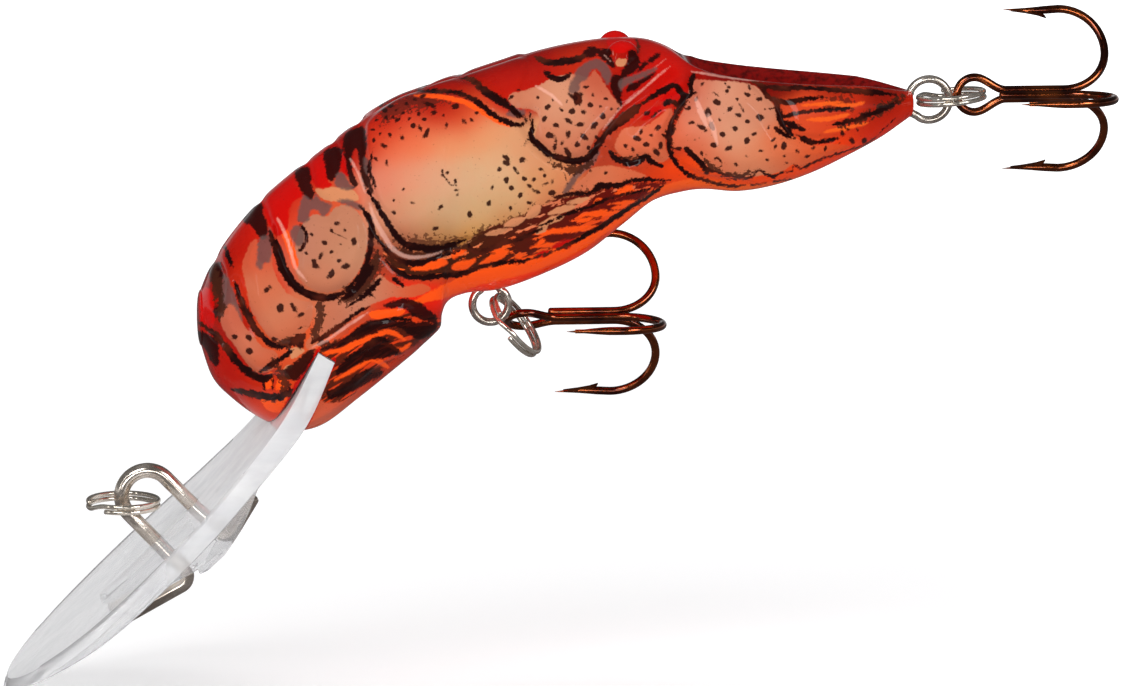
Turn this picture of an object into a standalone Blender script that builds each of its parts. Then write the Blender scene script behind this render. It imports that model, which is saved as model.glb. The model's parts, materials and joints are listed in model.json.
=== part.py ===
"""Deep-diving crawfish crankbait: two moulded shell halves, a clear diving lip,
wire line tie, wire hook hangers, split rings, two treble hooks and internals.

Frame: metres, +X from the lip tip towards the tail hook, +Z up, +Y towards the
right shell half.  Y = 0 is the parting plane of the two halves.
Sizes below are in millimetres and are turned into metres by MM.
"""
import math

import bmesh
import bpy
from mathutils import Matrix, Vector

MM = 0.001

# Places and outlines are written in drawing coordinates (x, z).
# ORIGIN is the centre of the whole lure's box in them, and becomes the scene's origin.
ORIGIN_X, ORIGIN_Z = -0.61, -0.18


def centred(x, z, y=0.0):
    """Point in drawing coordinates to a vector about the lure's centre."""
    return Vector((x - ORIGIN_X, y, z - ORIGIN_Z))


def centred_outline(points):
    """Outline in drawing coordinates to flat (x, z) vectors about the lure's centre."""
    return [Vector((x - ORIGIN_X, z - ORIGIN_Z)) for x, z in points]


def quarter_turn(direction):
    """Direction in the XZ plane, turned 90 degrees from +X towards +Z."""
    return Vector((-direction.z, 0, direction.x))


# ------------------------------------------------------------------------ body
PART_GAP = 0.05            # gap between the two shell halves at the parting plane
WALL = 1.15                # moulded wall thickness
RING_POINTS = 20           # points round one section of the body
BODY_STEPS = 2             # spans between two drawn stations
SQUARENESS = 2.2           # exponent of the section's oval, 2 is an ellipse
VALLEY_WIDTH = 0.40        # width of the valley between the claws, share of the half width
VALLEY_FADE = 1.6          # how soon the valley reaches full depth above mid height

NOSE = centred(-30.05, 2.8)
TAIL = centred(28.35, 19.6)
CAVITY_NOSE = centred(-28.75, 2.4)
CAVITY_TAIL = centred(17.9, 17.0)
CAVITY_FROM, CAVITY_TO = -28.9, 19.0   # drawn x range of the stations the cavity follows

# Body stations: x, top z, bottom z, half width, depth of the valley between the claws
STATIONS = [
    (-29.75, 4.9, 0.4, 2.5, 0.0),
    (-28.85, 6.9, -2.2, 4.3, 0.0),
    (-27.3, 9.3, -3.9, 5.5, 0.0),
    (-25.0, 12.0, -5.6, 6.3, 0.0),
    (-22.5, 14.2, -6.6, 6.9, 0.0),
    (-20.0, 16.1, -6.2, 7.2, 0.0),
    (-17.0, 18.4, -4.0, 7.5, 0.0),
    (-14.0, 20.2, -1.6, 7.6, 0.0),
    (-12.0, 21.0, 0.1, 7.7, 0.0),
    (-10.7, 21.5, 1.6, 7.7, 0.0),
    (-9.9, 21.75, 3.7, 7.7, 0.0),
    (-8.3, 22.2, 4.5, 7.7, 0.0),
    (-5.5, 23.1, 4.8, 7.7, 0.0),
    (-2.0, 24.2, 6.0, 7.6, 0.0),
    (1.5, 24.9, 7.7, 7.4, 0.0),
    (4.5, 25.15, 10.0, 7.1, 0.0),
    (7.0, 24.9, 11.9, 6.8, 0.0),
    (9.3, 24.0, 12.6, 6.5, 0.3),
    (11.2, 23.3, 12.8, 6.4, 2.0),
    (14.0, 22.9, 12.6, 6.5, 3.3),
    (17.0, 22.5, 13.1, 6.4, 3.5),
    (20.0, 22.1, 14.1, 5.9, 2.8),
    (23.0, 21.7, 15.5, 4.9, 2.0),
    (25.5, 21.3, 16.8, 3.7, 1.0),
    (27.2, 20.9, 17.9, 2.5, 0.3),
    (28.1, 20.6, 18.5, 1.6, 0.0),
]

EYE_DOME = centred(4.3, 23.85, y=3.9)  # centre of the right eye dome, mirrored for the left
EYE_DOME_R = 1.45

# Box that keeps one half of the body
KEEP_X = 40
KEEP_Y = 15
KEEP_BOTTOM, KEEP_TOP = -15, 35

# ------------------------------------------------------------------- internals
LANES = [centred(-2.0, 17.0), centred(2.6, 17.6), centred(7.2, 17.8)]
BALL_R = 1.25              # rattle shot 2.5 mm
LANE_R = 1.40
LANE_BOSS_R = 2.10
LANE_HALF = 4.20

BALLAST = centred(-15.5, 2.2)
BALLAST_R = 2.40
BALLAST_HALF = 4.30
BALLAST_CLEAR = 0.12       # room round the ballast and at its ends
BALLAST_BOSS_R = BALLAST_R + 0.85
BALLAST_SEGMENTS = 28

LOCATORS = [centred(-24.2, 6.0), centred(13.6, 16.2)]
LOCATOR_BOSS_R = 1.5
PIN_R, PIN_FROM, PIN_TO = 0.70, -1.5, 1.40     # pin on the left half: radius, y range
HOLE_R, HOLE_FROM, HOLE_TO = 0.95, -1.0, 1.75  # hole in the right half: radius, y range
LOCATOR_SEGMENTS = 12

BOSS_TOOL_HALF = 9         # half length of the boss tools, past both walls

# ------------------------------------------------------------------------- lip
SLOT_CLEAR = 0.30          # room round the lip in the chin slot
LIP_TONGUE_HALF = 7.5      # half width of the lip's tongue in the chin slot
SLOT_HALF = LIP_TONGUE_HALF + 4.0
LIP_PROFILE_HALF = 13.0    # half width of the blank before the plan trims it
LIP_PLAN_HALF = 14         # half height of the plan tool
LIP_BOSS_HALF = 2.1
LIP_TIP = centred(-45.5, -26.6)

# Lip profile, (x, z): top line from the tongue to the tip, then bottom line back
LIP_TOP = centred_outline([
    (-20.65, 0.75), (-23.80, -5.15), (-28.60, -10.75), (-33.70, -15.75),
    (-39.50, -21.20), (-45.85, -26.75)])
LIP_BOTTOM = centred_outline([
    (-46.05, -27.70), (-38.60, -22.35), (-32.60, -16.95), (-27.45, -11.90),
    (-22.05, -5.85), (-19.35, -0.05)])
LIP_OUTLINE = LIP_TOP + LIP_BOTTOM
LIP_BEND = Vector((LIP_TOP[1].x, 0, LIP_TOP[1].y))

# Thickened part of the lip round the line tie, (x, z)
LIP_BOSS = centred_outline([
    (-25.2, -8.0), (-26.2, -11.65), (-28.40, -15.31), (-29.6, -17.45), (-30.76, -18.14),
    (-36.56, -21.34), (-38.3, -21.2), (-33.0, -15.9), (-28.0, -10.9)])

# Lip plan from the tongue to the tip: distance past LIP_BEND along the blade, half width
LIP_PLAN = [
    (-12.0, LIP_TONGUE_HALF), (-3.0, LIP_TONGUE_HALF), (0.0, LIP_TONGUE_HALF), (2.2, 7.9),
    (4.5, 8.9), (8.0, 10.4), (12.0, 11.6), (16.5, 12.2), (20.5, 12.0), (24.0, 10.9),
    (27.0, 8.8), (29.4, 5.8), (30.8, 2.7)]
LIP_PLAN_TIP = (31.1, 0.0)

# -------------------------------------------------------------------- line tie
TIE_WIRE_R = 0.62          # line tie, stainless wire 1.24 mm
TIE_ARCH_R = 2.10          # centreline radius of the tie's arch
TIE_STAND = 2.69           # straight leg above the lip's top face
TIE_FILLET_R = 0.85        # centreline radius of the bends under the blade
TIE_MID = centred(-32.34, -13.91)          # between the legs, on the lip's top face
TIE_DOWN = Vector((-0.724, 0, -0.690))     # along the blade, towards its tip
TIE_OUT = -quarter_turn(TIE_DOWN)          # away from the blade's top face
TIE_ARCH = TIE_MID + TIE_OUT * TIE_STAND   # centre of the arch
TIE_FRONT_END = centred(-36.2, -22.0)      # clinched end under the blade, front
TIE_FRONT_KNEE = centred(-30.52, -18.87)
TIE_REAR_KNEE = centred(-27.74, -15.69)
TIE_REAR_END = centred(-25.7, -12.3)
LEG_HOLE_R = TIE_WIRE_R + 0.12             # with the legs' radial clearance in the lip
LEG_HOLE_ABOVE = 1.5                       # start of the leg holes above the top face
LEG_HOLE_LENGTH = 9.0
LEG_HOLE_SEGMENTS = 20

# ---------------------------------------------------------------- hook hangers
HANGER_WIRE_R = 0.33       # hook hanger wire 0.66 mm
HANGER_NECK = 0.42         # half the distance between the two wires of the neck
HANGER_OPENING = 0.25      # extra half opening of each loop, radians
NECK_FROM_EYE = 0.55       # neck's ends beyond the eye's and the inner loop's centreline
NECK_FROM_ANCHOR = 0.35
ANCHOR_R = 1.00            # centreline radius of a hanger's inner loop
PEG_R = 0.52               # moulded peg inside the inner loop
PEG_SEGMENTS = 14

BELLY_EYE = centred(-6.17, 3.45)
BELLY_ANCHOR = centred(-6.17, 8.20)
BELLY_EYE_R = 1.475        # centreline radius of the belly eyelet
TAIL_EYE = centred(29.67, 19.83)
TAIL_ANCHOR = centred(23.45, 17.70)
TAIL_EYE_R = 1.68

# Channel in the shells for a hanger
CHANNEL_HALF_Y = 0.48
CHANNEL_HALF_ACROSS = 1.0
CHANNEL_INTO_EYE = 0.30    # start inside the eye's centreline
CHANNEL_SHORT = 0.9        # end before the anchor's centre
RIM_CLEAR, RIM_HALF = 0.12, 0.51
WELL_CLEAR, WELL_HALF = 0.2, 0.45
PEG_TOOL_HALF = 0.6

# ----------------------------------------------------------------- split rings
SPLIT_WIRE_R = 0.20        # split ring wire 0.40 mm
SPLIT_PITCH = 0.44         # distance between the two coils
SPLIT_JOG = 44             # degrees taken by the jog, and by the gap between the ends
SPLIT_PER_TURN = 22        # path points in a full turn

LINE_RING_R = 2.85         # mean radii of the rings
BELLY_RING_R = 2.80
TAIL_RING_R = 2.70
LINE_RING_SHIFT = Vector((-1.955, 0, -0.557))  # tie arch centre to ring centre
BELLY_RING_SHIFT = Vector((0.30, 0, 0.45))     # belly eye centre to the ring's upper end
BELLY_RING_OUT = Vector((0.62, 0, -0.785)).normalized()
BELLY_RING_TILT = math.radians(15)             # turn of the ring about BELLY_RING_OUT
BELLY_HOOK_TURN = math.radians(80)             # from BELLY_RING_OUT round to the hook
BELLY_HOOK_SHIFT = Vector((0.10, 0, -0.04))    # ring centreline to hook eye centre
TAIL_RING_OUT = Vector((0.9945, 0, 0.1045))
TAIL_RING_INSET = 0.85                         # ring's front end ahead of the eye centre
TAIL_HOOK_SHIFT = Vector((-0.80, 0, -0.12))

# ---------------------------------------------------------------- treble hooks
HOOK_WIRE_R = 0.34         # treble wire 0.68 mm
HOOK_BEND_X = 7.35         # eye centre to the bend's centre, along the shank
HOOK_BEND_R = 3.60
HOOK_GAPE = 7.56           # shank axis to the point section
HOOK_EYE_R = 1.42
HOOK_EYE_LEN = 2.60        # eye centre to where its two wires lie side by side
HOOK_PAIR_END = HOOK_EYE_LEN + 1.6         # drawn end of the side-by-side stretch
HOOK_PAIR_HALF = HOOK_WIRE_R + 0.02        # shank axis to each of the two wires
SINGLE_OFFSET = 0.655                      # shank axis to the single hook's wire
SINGLE_SHANK = (2.15, 4.7)                 # x of the single hook's first shank points
DOUBLE_SPREAD = 120                        # degrees from the single hook to the others

# Barb and point: x from the eye centre, inset from the gape, share of the wire's radius
HOOK_TIP = [(6.45, 0.0, 0.98), (6.15, 0.10, 1.15), (5.0, 0.12, 0.78), (3.7, 0.06, 0.42),
            (2.80, 0.0, 0.08)]


# --------------------------------------------------------------- scene helpers
def new_collection(name):
    collection = bpy.data.collections.new(name)
    bpy.context.scene.collection.children.link(collection)
    return collection


for old in list(bpy.data.objects):
    bpy.data.objects.remove(old, do_unlink=True)

PARTS = new_collection("crankbait_lure")
TOOLS = new_collection("cutters")


def material(name, color, roughness, metallic, alpha=1.0):
    mat = bpy.data.materials.new(name)
    mat.use_nodes = True
    shader = mat.node_tree.nodes["Principled BSDF"]
    shader.inputs["Base Color"].default_value = (*color, 1.0)
    shader.inputs["Roughness"].default_value = roughness
    shader.inputs["Metallic"].default_value = metallic
    shader.inputs["Alpha"].default_value = alpha
    mat.diffuse_color = (*color, alpha)
    return mat


def add_part(name, mesh, mat, parent=None):
    obj = bpy.data.objects.new(name, mesh)
    PARTS.objects.link(obj)
    obj.data.materials.clear()
    obj.data.materials.append(mat)
    if parent is not None:
        obj.parent = parent
        obj.matrix_parent_inverse = parent.matrix_world.inverted()
    return obj


def add_cutter(mesh):
    """Helper object, named after its mesh, that a boolean modifier uses."""
    obj = bpy.data.objects.new(mesh.name, mesh)
    TOOLS.objects.link(obj)
    obj.hide_render = True
    obj.display_type = "WIRE"
    return obj


def boolean(obj, operation, tool, name):
    modifier = obj.modifiers.new(name, "BOOLEAN")
    modifier.operation = operation
    modifier.solver = "EXACT"
    modifier.object = tool


def pivot(name, place):
    """Empty that the moving parts hang from."""
    empty = bpy.data.objects.new(name, None)
    empty.empty_display_size = 0.002
    empty.location = place * MM
    PARTS.objects.link(empty)
    bpy.context.view_layer.update()
    return empty


def smooth(obj, angle):
    obj.data.shade_smooth()
    obj.data.set_sharp_from_angle(angle=math.radians(angle))


def finish(name, bm):
    """Turn the bmesh into a mesh and free it."""
    mesh = bpy.data.meshes.new(name)
    bm.to_mesh(mesh)
    bm.free()
    return mesh


# ----------------------------------------------------------------------- lofts
def centred_stations(stations):
    return [(x - ORIGIN_X, top - ORIGIN_Z, bottom - ORIGIN_Z, half, valley)
            for x, top, bottom, half, valley in stations]


def spline(rows, steps):
    """Catmull-Rom through the rows, with extra rows between them."""
    out = []
    for i in range(len(rows) - 1):
        neighbours = (rows[max(i - 1, 0)], rows[i], rows[i + 1],
                      rows[min(i + 2, len(rows) - 1)])
        for k in range(steps):
            t = k / steps
            out.append(tuple(
                0.5 * (2 * q + (r - p) * t + (2 * p - 5 * q + 4 * r - s) * t * t
                       + (3 * q - p - 3 * r + s) * t ** 3)
                for p, q, r, s in zip(*neighbours)))
    out.append(rows[-1])
    return out


def section(row):
    """Closed section of the body: a rounded oval with an optional valley on top."""
    x, top, bottom, half, valley = row
    mid, high = (top + bottom) / 2, (top - bottom) / 2
    points = []
    for i in range(RING_POINTS):
        angle = 2 * math.pi * (i + 0.5) / RING_POINTS
        cos, sin = math.cos(angle), math.sin(angle)
        y = half * math.copysign(abs(cos) ** (2 / SQUARENESS), cos)
        z = mid + high * math.copysign(abs(sin) ** (2 / SQUARENESS), sin)
        if valley > 0 and sin > 0:
            spread = math.exp(-(y / (VALLEY_WIDTH * half)) ** 2)
            z -= valley * spread * min(1.0, sin * VALLEY_FADE)
        points.append(Vector((x, y, z)) * MM)
    return points


def loft(name, stations, nose, tail):
    """Skin the splined stations and close each end with a fan to one point."""
    rows = spline(centred_stations(stations), BODY_STEPS)
    bm = bmesh.new()
    rings = [[bm.verts.new(p) for p in section(row)] for row in rows]
    first = bm.verts.new(nose * MM)
    last = bm.verts.new(tail * MM)
    for ring, following in zip(rings, rings[1:]):
        for i in range(RING_POINTS):
            j = (i + 1) % RING_POINTS
            bm.faces.new((ring[i], ring[j], following[j], following[i]))
    for i in range(RING_POINTS):
        j = (i + 1) % RING_POINTS
        bm.faces.new((first, rings[0][j], rings[0][i]))
        bm.faces.new((last, rings[-1][i], rings[-1][j]))
    bmesh.ops.recalc_face_normals(bm, faces=bm.faces)
    return finish(name, bm)


# --------------------------------------------------------------- simple solids
def round_bar(name, radius, length, segments, placement):
    """Cylinder along its own Z, then placed by a matrix in metres."""
    bm = bmesh.new()
    bmesh.ops.create_cone(bm, cap_ends=True, segments=segments, radius1=radius * MM,
                          radius2=radius * MM, depth=length * MM)
    bmesh.ops.transform(bm, matrix=placement, verts=bm.verts)
    return finish(name, bm)


def cylinder(name, centre, radius, y_from, y_to, segments):
    """Cylinder along Y."""
    turn = Matrix.Rotation(math.pi / 2, 4, "X")
    place = Matrix.Translation(Vector((centre.x, (y_from + y_to) / 2, centre.z)) * MM)
    return round_bar(name, radius, y_to - y_from, segments, place @ turn)


def rod(name, start, end, radius, segments):
    """Cylinder between two points."""
    turn = (end - start).to_track_quat("Z", "Y").to_matrix().to_4x4()
    place = Matrix.Translation((start + end) / 2 * MM)
    return round_bar(name, radius, (end - start).length, segments, place @ turn)


def box(name, low, high, turn=0.0):
    """Box given by two corners, turned about its own centre in the XZ plane."""
    low, high = Vector(low) * MM, Vector(high) * MM
    bm = bmesh.new()
    bmesh.ops.create_cube(bm, size=1.0)
    size = Matrix.Diagonal((*(high - low), 1.0))
    place = Matrix.Translation((low + high) / 2) @ Matrix.Rotation(turn, 4, "Y")
    bmesh.ops.transform(bm, matrix=place @ size, verts=bm.verts)
    return finish(name, bm)


def ball(name, centre, radius, around, rows):
    bm = bmesh.new()
    bmesh.ops.create_uvsphere(bm, u_segments=around, v_segments=rows, radius=radius * MM)
    bmesh.ops.translate(bm, vec=centre * MM, verts=bm.verts)
    return finish(name, bm)


def join_meshes(name, meshes):
    bm = bmesh.new()
    for mesh in meshes:
        bm.from_mesh(mesh)
    return finish(name, bm)


def solid_from_curve(name, curve, world=Matrix.Identity(4)):
    """The curve's evaluated surface as a mesh with its caps welded."""
    temp = bpy.data.objects.new(name + "_curve", curve)
    TOOLS.objects.link(temp)
    temp.matrix_world = world
    bpy.context.view_layer.update()
    depsgraph = bpy.context.evaluated_depsgraph_get()
    mesh = bpy.data.meshes.new_from_object(temp.evaluated_get(depsgraph))
    mesh.name = name
    mesh.transform(world)
    bpy.data.objects.remove(temp, do_unlink=True)
    bm = bmesh.new()
    bm.from_mesh(mesh)
    bmesh.ops.remove_doubles(bm, verts=bm.verts, dist=1e-6)
    bmesh.ops.recalc_face_normals(bm, faces=bm.faces)
    bm.to_mesh(mesh)
    bm.free()
    return mesh


def extruded(name, outline, half, frame=Matrix.Rotation(math.pi / 2, 4, "X")):
    """Flat outline extruded both ways; the default frame lays it in the XZ plane."""
    curve = bpy.data.curves.new(name + "_outline", "CURVE")
    curve.dimensions = "2D"
    curve.fill_mode = "BOTH"
    curve.extrude = half * MM
    path = curve.splines.new("POLY")
    path.points.add(len(outline) - 1)
    for point, (across, up) in zip(path.points, outline):
        point.co = (across * MM, up * MM, 0, 1)
    path.use_cyclic_u = True
    return solid_from_curve(name, curve, frame)


def add_wire(name, points, radius, mat, parent=None, cyclic=False, widths=None):
    """Round wire along the points; widths are shares of the radius."""
    curve = bpy.data.curves.new(name + "_path", "CURVE")
    curve.dimensions = "3D"
    curve.bevel_depth = radius * MM
    curve.bevel_resolution = 2
    curve.use_fill_caps = not cyclic
    curve.twist_mode = "MINIMUM"
    path = curve.splines.new("POLY")
    path.points.add(len(points) - 1)
    for i, (point, place) in enumerate(zip(path.points, points)):
        point.co = (place.x * MM, place.y * MM, place.z * MM, 1)
        point.radius = widths[i] if widths else 1.0
    path.use_cyclic_u = cyclic
    smooth(add_part(name, solid_from_curve(name, curve), mat, parent), 50)


# ------------------------------------------------------------------- materials
SHELL = material("shell_paint", color=(0.78, 0.10, 0.03), roughness=0.18, metallic=0.0)
CLEAR = material("clear_lip", color=(0.90, 0.92, 0.93), roughness=0.06, metallic=0.0,
                 alpha=0.35)
STAINLESS = material("stainless_wire", color=(0.62, 0.60, 0.58), roughness=0.22, metallic=1.0)
NICKEL = material("nickel_rings", color=(0.70, 0.69, 0.67), roughness=0.16, metallic=1.0)
BRONZE = material("bronzed_hooks", color=(0.26, 0.10, 0.04), roughness=0.25, metallic=1.0)
LEAD = material("ballast_metal", color=(0.32, 0.32, 0.34), roughness=0.5, metallic=1.0)
STEEL = material("rattle_steel", color=(0.60, 0.60, 0.62), roughness=0.15, metallic=1.0)


# ---------------------------------------------------------------------- shells
def cavity_cutter():
    """Hollow of the body, less the bosses that stay standing in it."""
    stations = [(x, top - WALL, bottom + WALL, half - WALL, valley)
                for x, top, bottom, half, valley in STATIONS if CAVITY_FROM < x < CAVITY_TO]
    cavity = add_cutter(loft("cut_cavity", stations, CAVITY_NOSE, CAVITY_TAIL))
    bosses = [(centre, LANE_BOSS_R, 20) for centre in LANES]
    bosses.append((BALLAST, BALLAST_BOSS_R, BALLAST_SEGMENTS))
    bosses += [(centre, LOCATOR_BOSS_R, 16) for centre in LOCATORS]
    bosses.append((BELLY_ANCHOR, PEG_R, PEG_SEGMENTS))
    meshes = [cylinder("boss", centre, radius, -BOSS_TOOL_HALF, BOSS_TOOL_HALF, segments)
              for centre, radius, segments in bosses]
    boolean(cavity, "DIFFERENCE", add_cutter(join_meshes("cut_bosses", meshes)),
            "leave_bosses")
    return cavity


def bore_cutter():
    """Blind bores for the rattle shot and the ballast."""
    bores = [cylinder("bore", centre, LANE_R, -LANE_HALF, LANE_HALF, 20) for centre in LANES]
    bores.append(cylinder("bore", BALLAST, BALLAST_R + BALLAST_CLEAR,
                          -BALLAST_HALF - BALLAST_CLEAR, BALLAST_HALF + BALLAST_CLEAR,
                          BALLAST_SEGMENTS))
    return add_cutter(join_meshes("cut_bores", bores))


def eye_domes():
    domes = [ball("dome", Vector((EYE_DOME.x, side * EYE_DOME.y, EYE_DOME.z)), EYE_DOME_R,
                  around=14, rows=9) for side in (-1, 1)]
    return add_cutter(join_meshes("add_eyes", domes))


def channel(name, eye, anchor, eye_r, pocket):
    """Room for a hanger's neck and eye and, with a pocket, for its inner loop."""
    along = (anchor - eye).normalized()
    start = eye + along * (eye_r - CHANNEL_INTO_EYE)
    end = anchor - along * CHANNEL_SHORT
    mid = (start + end) / 2
    reach = Vector(((end - start).length / 2, CHANNEL_HALF_Y, CHANNEL_HALF_ACROSS))
    tool = add_cutter(box(name, mid - reach, mid + reach, math.atan2(-along.z, along.x)))
    rim = cylinder(name + "_rim", eye, eye_r + HANGER_WIRE_R + RIM_CLEAR,
                   -RIM_HALF, RIM_HALF, 24)
    boolean(tool, "UNION", add_cutter(rim), "eye_rim")
    if pocket:
        well = cylinder(name + "_well", anchor, ANCHOR_R + HANGER_WIRE_R + WELL_CLEAR,
                        -WELL_HALF, WELL_HALF, 20)
        boolean(tool, "UNION", add_cutter(well), "inner_loop")
        peg = cylinder(name + "_peg", anchor, PEG_R, -PEG_TOOL_HALF, PEG_TOOL_HALF,
                       PEG_SEGMENTS)
        boolean(tool, "DIFFERENCE", add_cutter(peg), "peg")
    return tool


def grown(outline, distance):
    """Outline moved outwards by a distance, corner by corner."""
    following = outline[1:] + outline[:1]
    area = sum(p.x * q.y - q.x * p.y for p, q in zip(outline, following))
    side = 1 if area > 0 else -1
    out = []
    for before, corner, after in zip(outline[-1:] + outline[:-1], outline, following):
        edge_in, edge_out = (corner - before).normalized(), (after - corner).normalized()
        normal_in = Vector((edge_in.y, -edge_in.x)) * side
        normal_out = Vector((edge_out.y, -edge_out.x)) * side
        middle = (normal_in + normal_out).normalized()
        # The floor keeps a sharp corner from running far out.
        out.append(corner + middle * (distance / max(0.45, middle.dot(normal_in))))
    return out


def locator_cylinders(name, radius, y_from, y_to):
    return add_cutter(join_meshes(name, [
        cylinder("locator", centre, radius, y_from, y_to, LOCATOR_SEGMENTS)
        for centre in LOCATORS]))


def build_shells():
    eyes = eye_domes()
    cuts = [
        (cavity_cutter(), "hollow"),
        (bore_cutter(), "bores"),
        (channel("cut_belly_wire", BELLY_EYE, BELLY_ANCHOR, BELLY_EYE_R, pocket=False),
         "belly_wire"),
        (channel("cut_tail_wire", TAIL_EYE, TAIL_ANCHOR, TAIL_EYE_R, pocket=True),
         "tail_wire"),
        (add_cutter(extruded("cut_lip_slot", grown(LIP_OUTLINE, SLOT_CLEAR), SLOT_HALF)),
         "lip_slot"),
    ]
    halves = (("body_shell_left", -KEEP_Y, -PART_GAP / 2),
              ("body_shell_right", PART_GAP / 2, KEEP_Y))
    shells = []
    for name, y_low, y_high in halves:
        shell = add_part(name, loft(name, STATIONS, NOSE, TAIL), SHELL)
        boolean(shell, "UNION", eyes, "eyes")
        keep = box("keep_" + name, (-KEEP_X, y_low, KEEP_BOTTOM), (KEEP_X, y_high, KEEP_TOP))
        boolean(shell, "INTERSECT", add_cutter(keep), "half")
        for tool, cut_name in cuts:
            boolean(shell, "DIFFERENCE", tool, cut_name)
        shells.append(shell)
    left, right = shells
    pins = locator_cylinders("add_locating_pins", PIN_R, PIN_FROM, PIN_TO)
    boolean(left, "UNION", pins, "locating_pins")
    holes = locator_cylinders("cut_locating_holes", HOLE_R, HOLE_FROM, HOLE_TO)
    boolean(right, "DIFFERENCE", holes, "locating_holes")


# ------------------------------------------------------------------------- lip
def lip_plan_cutter():
    """Plan outline of the lip, extruded square to the blade."""
    run = (LIP_TIP - LIP_BEND).normalized()
    face = -quarter_turn(run)
    outline = LIP_PLAN + [LIP_PLAN_TIP] + [(along, -half) for along, half in reversed(LIP_PLAN)]
    frame = Matrix(((run.x, 0, face.x, LIP_BEND.x * MM),
                    (0, 1, 0, 0),
                    (run.z, 0, face.z, LIP_BEND.z * MM),
                    (0, 0, 0, 1)))
    return add_cutter(extruded("keep_lip_plan", outline, LIP_PLAN_HALF, frame))


def build_lip():
    lip = add_part("diving_lip", extruded("diving_lip", LIP_OUTLINE, LIP_PROFILE_HALF), CLEAR)
    boolean(lip, "INTERSECT", lip_plan_cutter(), "plan_outline")
    boss = add_cutter(extruded("add_lip_boss", LIP_BOSS, LIP_BOSS_HALF))
    boolean(lip, "UNION", boss, "boss")
    legs = []
    for side in (1, -1):
        top = TIE_MID + TIE_DOWN * (side * TIE_ARCH_R) + TIE_OUT * LEG_HOLE_ABOVE
        legs.append(rod("leg", top, top - TIE_OUT * LEG_HOLE_LENGTH, LEG_HOLE_R,
                        LEG_HOLE_SEGMENTS))
    boolean(lip, "DIFFERENCE", add_cutter(join_meshes("cut_tie_legs", legs)), "tie_legs")


# -------------------------------------------------------------------- line tie
def filleted(start, corner, end, radius, steps=5):
    """Path from start to end with the corner rounded."""
    back, onward = (start - corner).normalized(), (end - corner).normalized()
    half = back.angle(onward) / 2
    cut = radius / math.tan(half)
    centre = corner + (back + onward).normalized() * (radius / math.sin(half))
    first = corner + back * cut - centre
    last = corner + onward * cut - centre
    sweep = first.angle(last)
    axis = first.cross(last).normalized()
    arc = [centre + Matrix.Rotation(sweep * k / steps, 3, axis) @ first
           for k in range(steps + 1)]
    return [start] + arc + [end]


def build_line_tie():
    arch = []
    for k in range(13):
        angle = math.pi * k / 12
        arch.append(TIE_ARCH + (TIE_DOWN * math.cos(angle) + TIE_OUT * math.sin(angle))
                    * TIE_ARCH_R)
    front = filleted(TIE_FRONT_END, TIE_FRONT_KNEE, arch[0], TIE_FILLET_R)
    rear = filleted(arch[-1], TIE_REAR_KNEE, TIE_REAR_END, TIE_FILLET_R)
    add_wire("line_tie_wire", front[:-1] + arch + rear[1:], TIE_WIRE_R, STAINLESS)


# ---------------------------------------------------------------- hook hangers
def build_hanger(name, eye, anchor, eye_r):
    """Closed wire: a round eye outside, two wires side by side, a loop on the peg."""
    along = (anchor - eye).normalized()
    across = quarter_turn(along)

    def open_loop(centre, radius, facing, steps):
        opening = math.asin(HANGER_NECK / radius) + HANGER_OPENING
        points = []
        for k in range(steps + 1):
            angle = facing + opening + (2 * math.pi - 2 * opening) * k / steps
            points.append(centre + (along * math.cos(angle) + across * math.sin(angle))
                          * radius)
        return points

    neck_ends = [eye + along * (eye_r + NECK_FROM_EYE),
                 eye + along * ((anchor - eye).length - ANCHOR_R - NECK_FROM_ANCHOR)]
    points = open_loop(eye, eye_r, 0.0, 16)
    points += [end - across * HANGER_NECK for end in neck_ends]
    points += open_loop(anchor, ANCHOR_R, -math.pi, 12)
    points += [end + across * HANGER_NECK for end in reversed(neck_ends)]
    add_wire(name, points, HANGER_WIRE_R, STAINLESS, cyclic=True)


# ----------------------------------------------------------------- split rings
def ring_path(radius, turned):
    """Two flat coils of a split ring joined by a jog, about local Z."""
    sweep = 720.0 - SPLIT_JOG
    count = int(SPLIT_PER_TURN * sweep / 360)
    points = []
    for k in range(count + 1):
        degrees = SPLIT_JOG / 2 + sweep * k / count
        rise = min(1.0, max(0.0, (degrees - (360 - SPLIT_JOG / 2)) / SPLIT_JOG))
        rise = rise * rise * (3 - 2 * rise)
        angle = math.radians(degrees + turned)
        points.append(Vector((radius * math.cos(angle), radius * math.sin(angle),
                              SPLIT_PITCH * (rise - 0.5))))
    return points


def split_ring(name, radius, centre, along, across, parent, turned):
    """Ring in the plane of along and across; turned places its jog, in degrees."""
    along = along.normalized()
    across = (across - along * across.dot(along)).normalized()
    axis = along.cross(across)
    points = [centre + along * p.x + across * p.y + axis * p.z
              for p in ring_path(radius, turned)]
    add_wire(name, points, SPLIT_WIRE_R, NICKEL, parent)


# ---------------------------------------------------------------- treble hooks
def roll(degrees):
    """Direction square to the shank, turned from +Z towards +Y."""
    angle = math.radians(degrees)
    return Vector((0, math.sin(angle), math.cos(angle)))


def prong(direction, offset):
    """From the shank's rear end round the bend to the point: positions and widths."""
    points, widths = [], []
    for k in range(13):
        angle = math.pi * k / 12
        fade = max(0.0, math.cos(angle))
        rise = HOOK_GAPE * (1 - math.cos(angle)) / 2
        points.append(Vector((HOOK_BEND_X + HOOK_BEND_R * math.sin(angle), 0, 0))
                      + direction * rise + offset * fade)
        widths.append(1.0)
    for x, inset, width in HOOK_TIP:
        points.append(Vector((x, 0, 0)) + direction * (HOOK_GAPE - inset))
        widths.append(width)
    return points, widths


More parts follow.
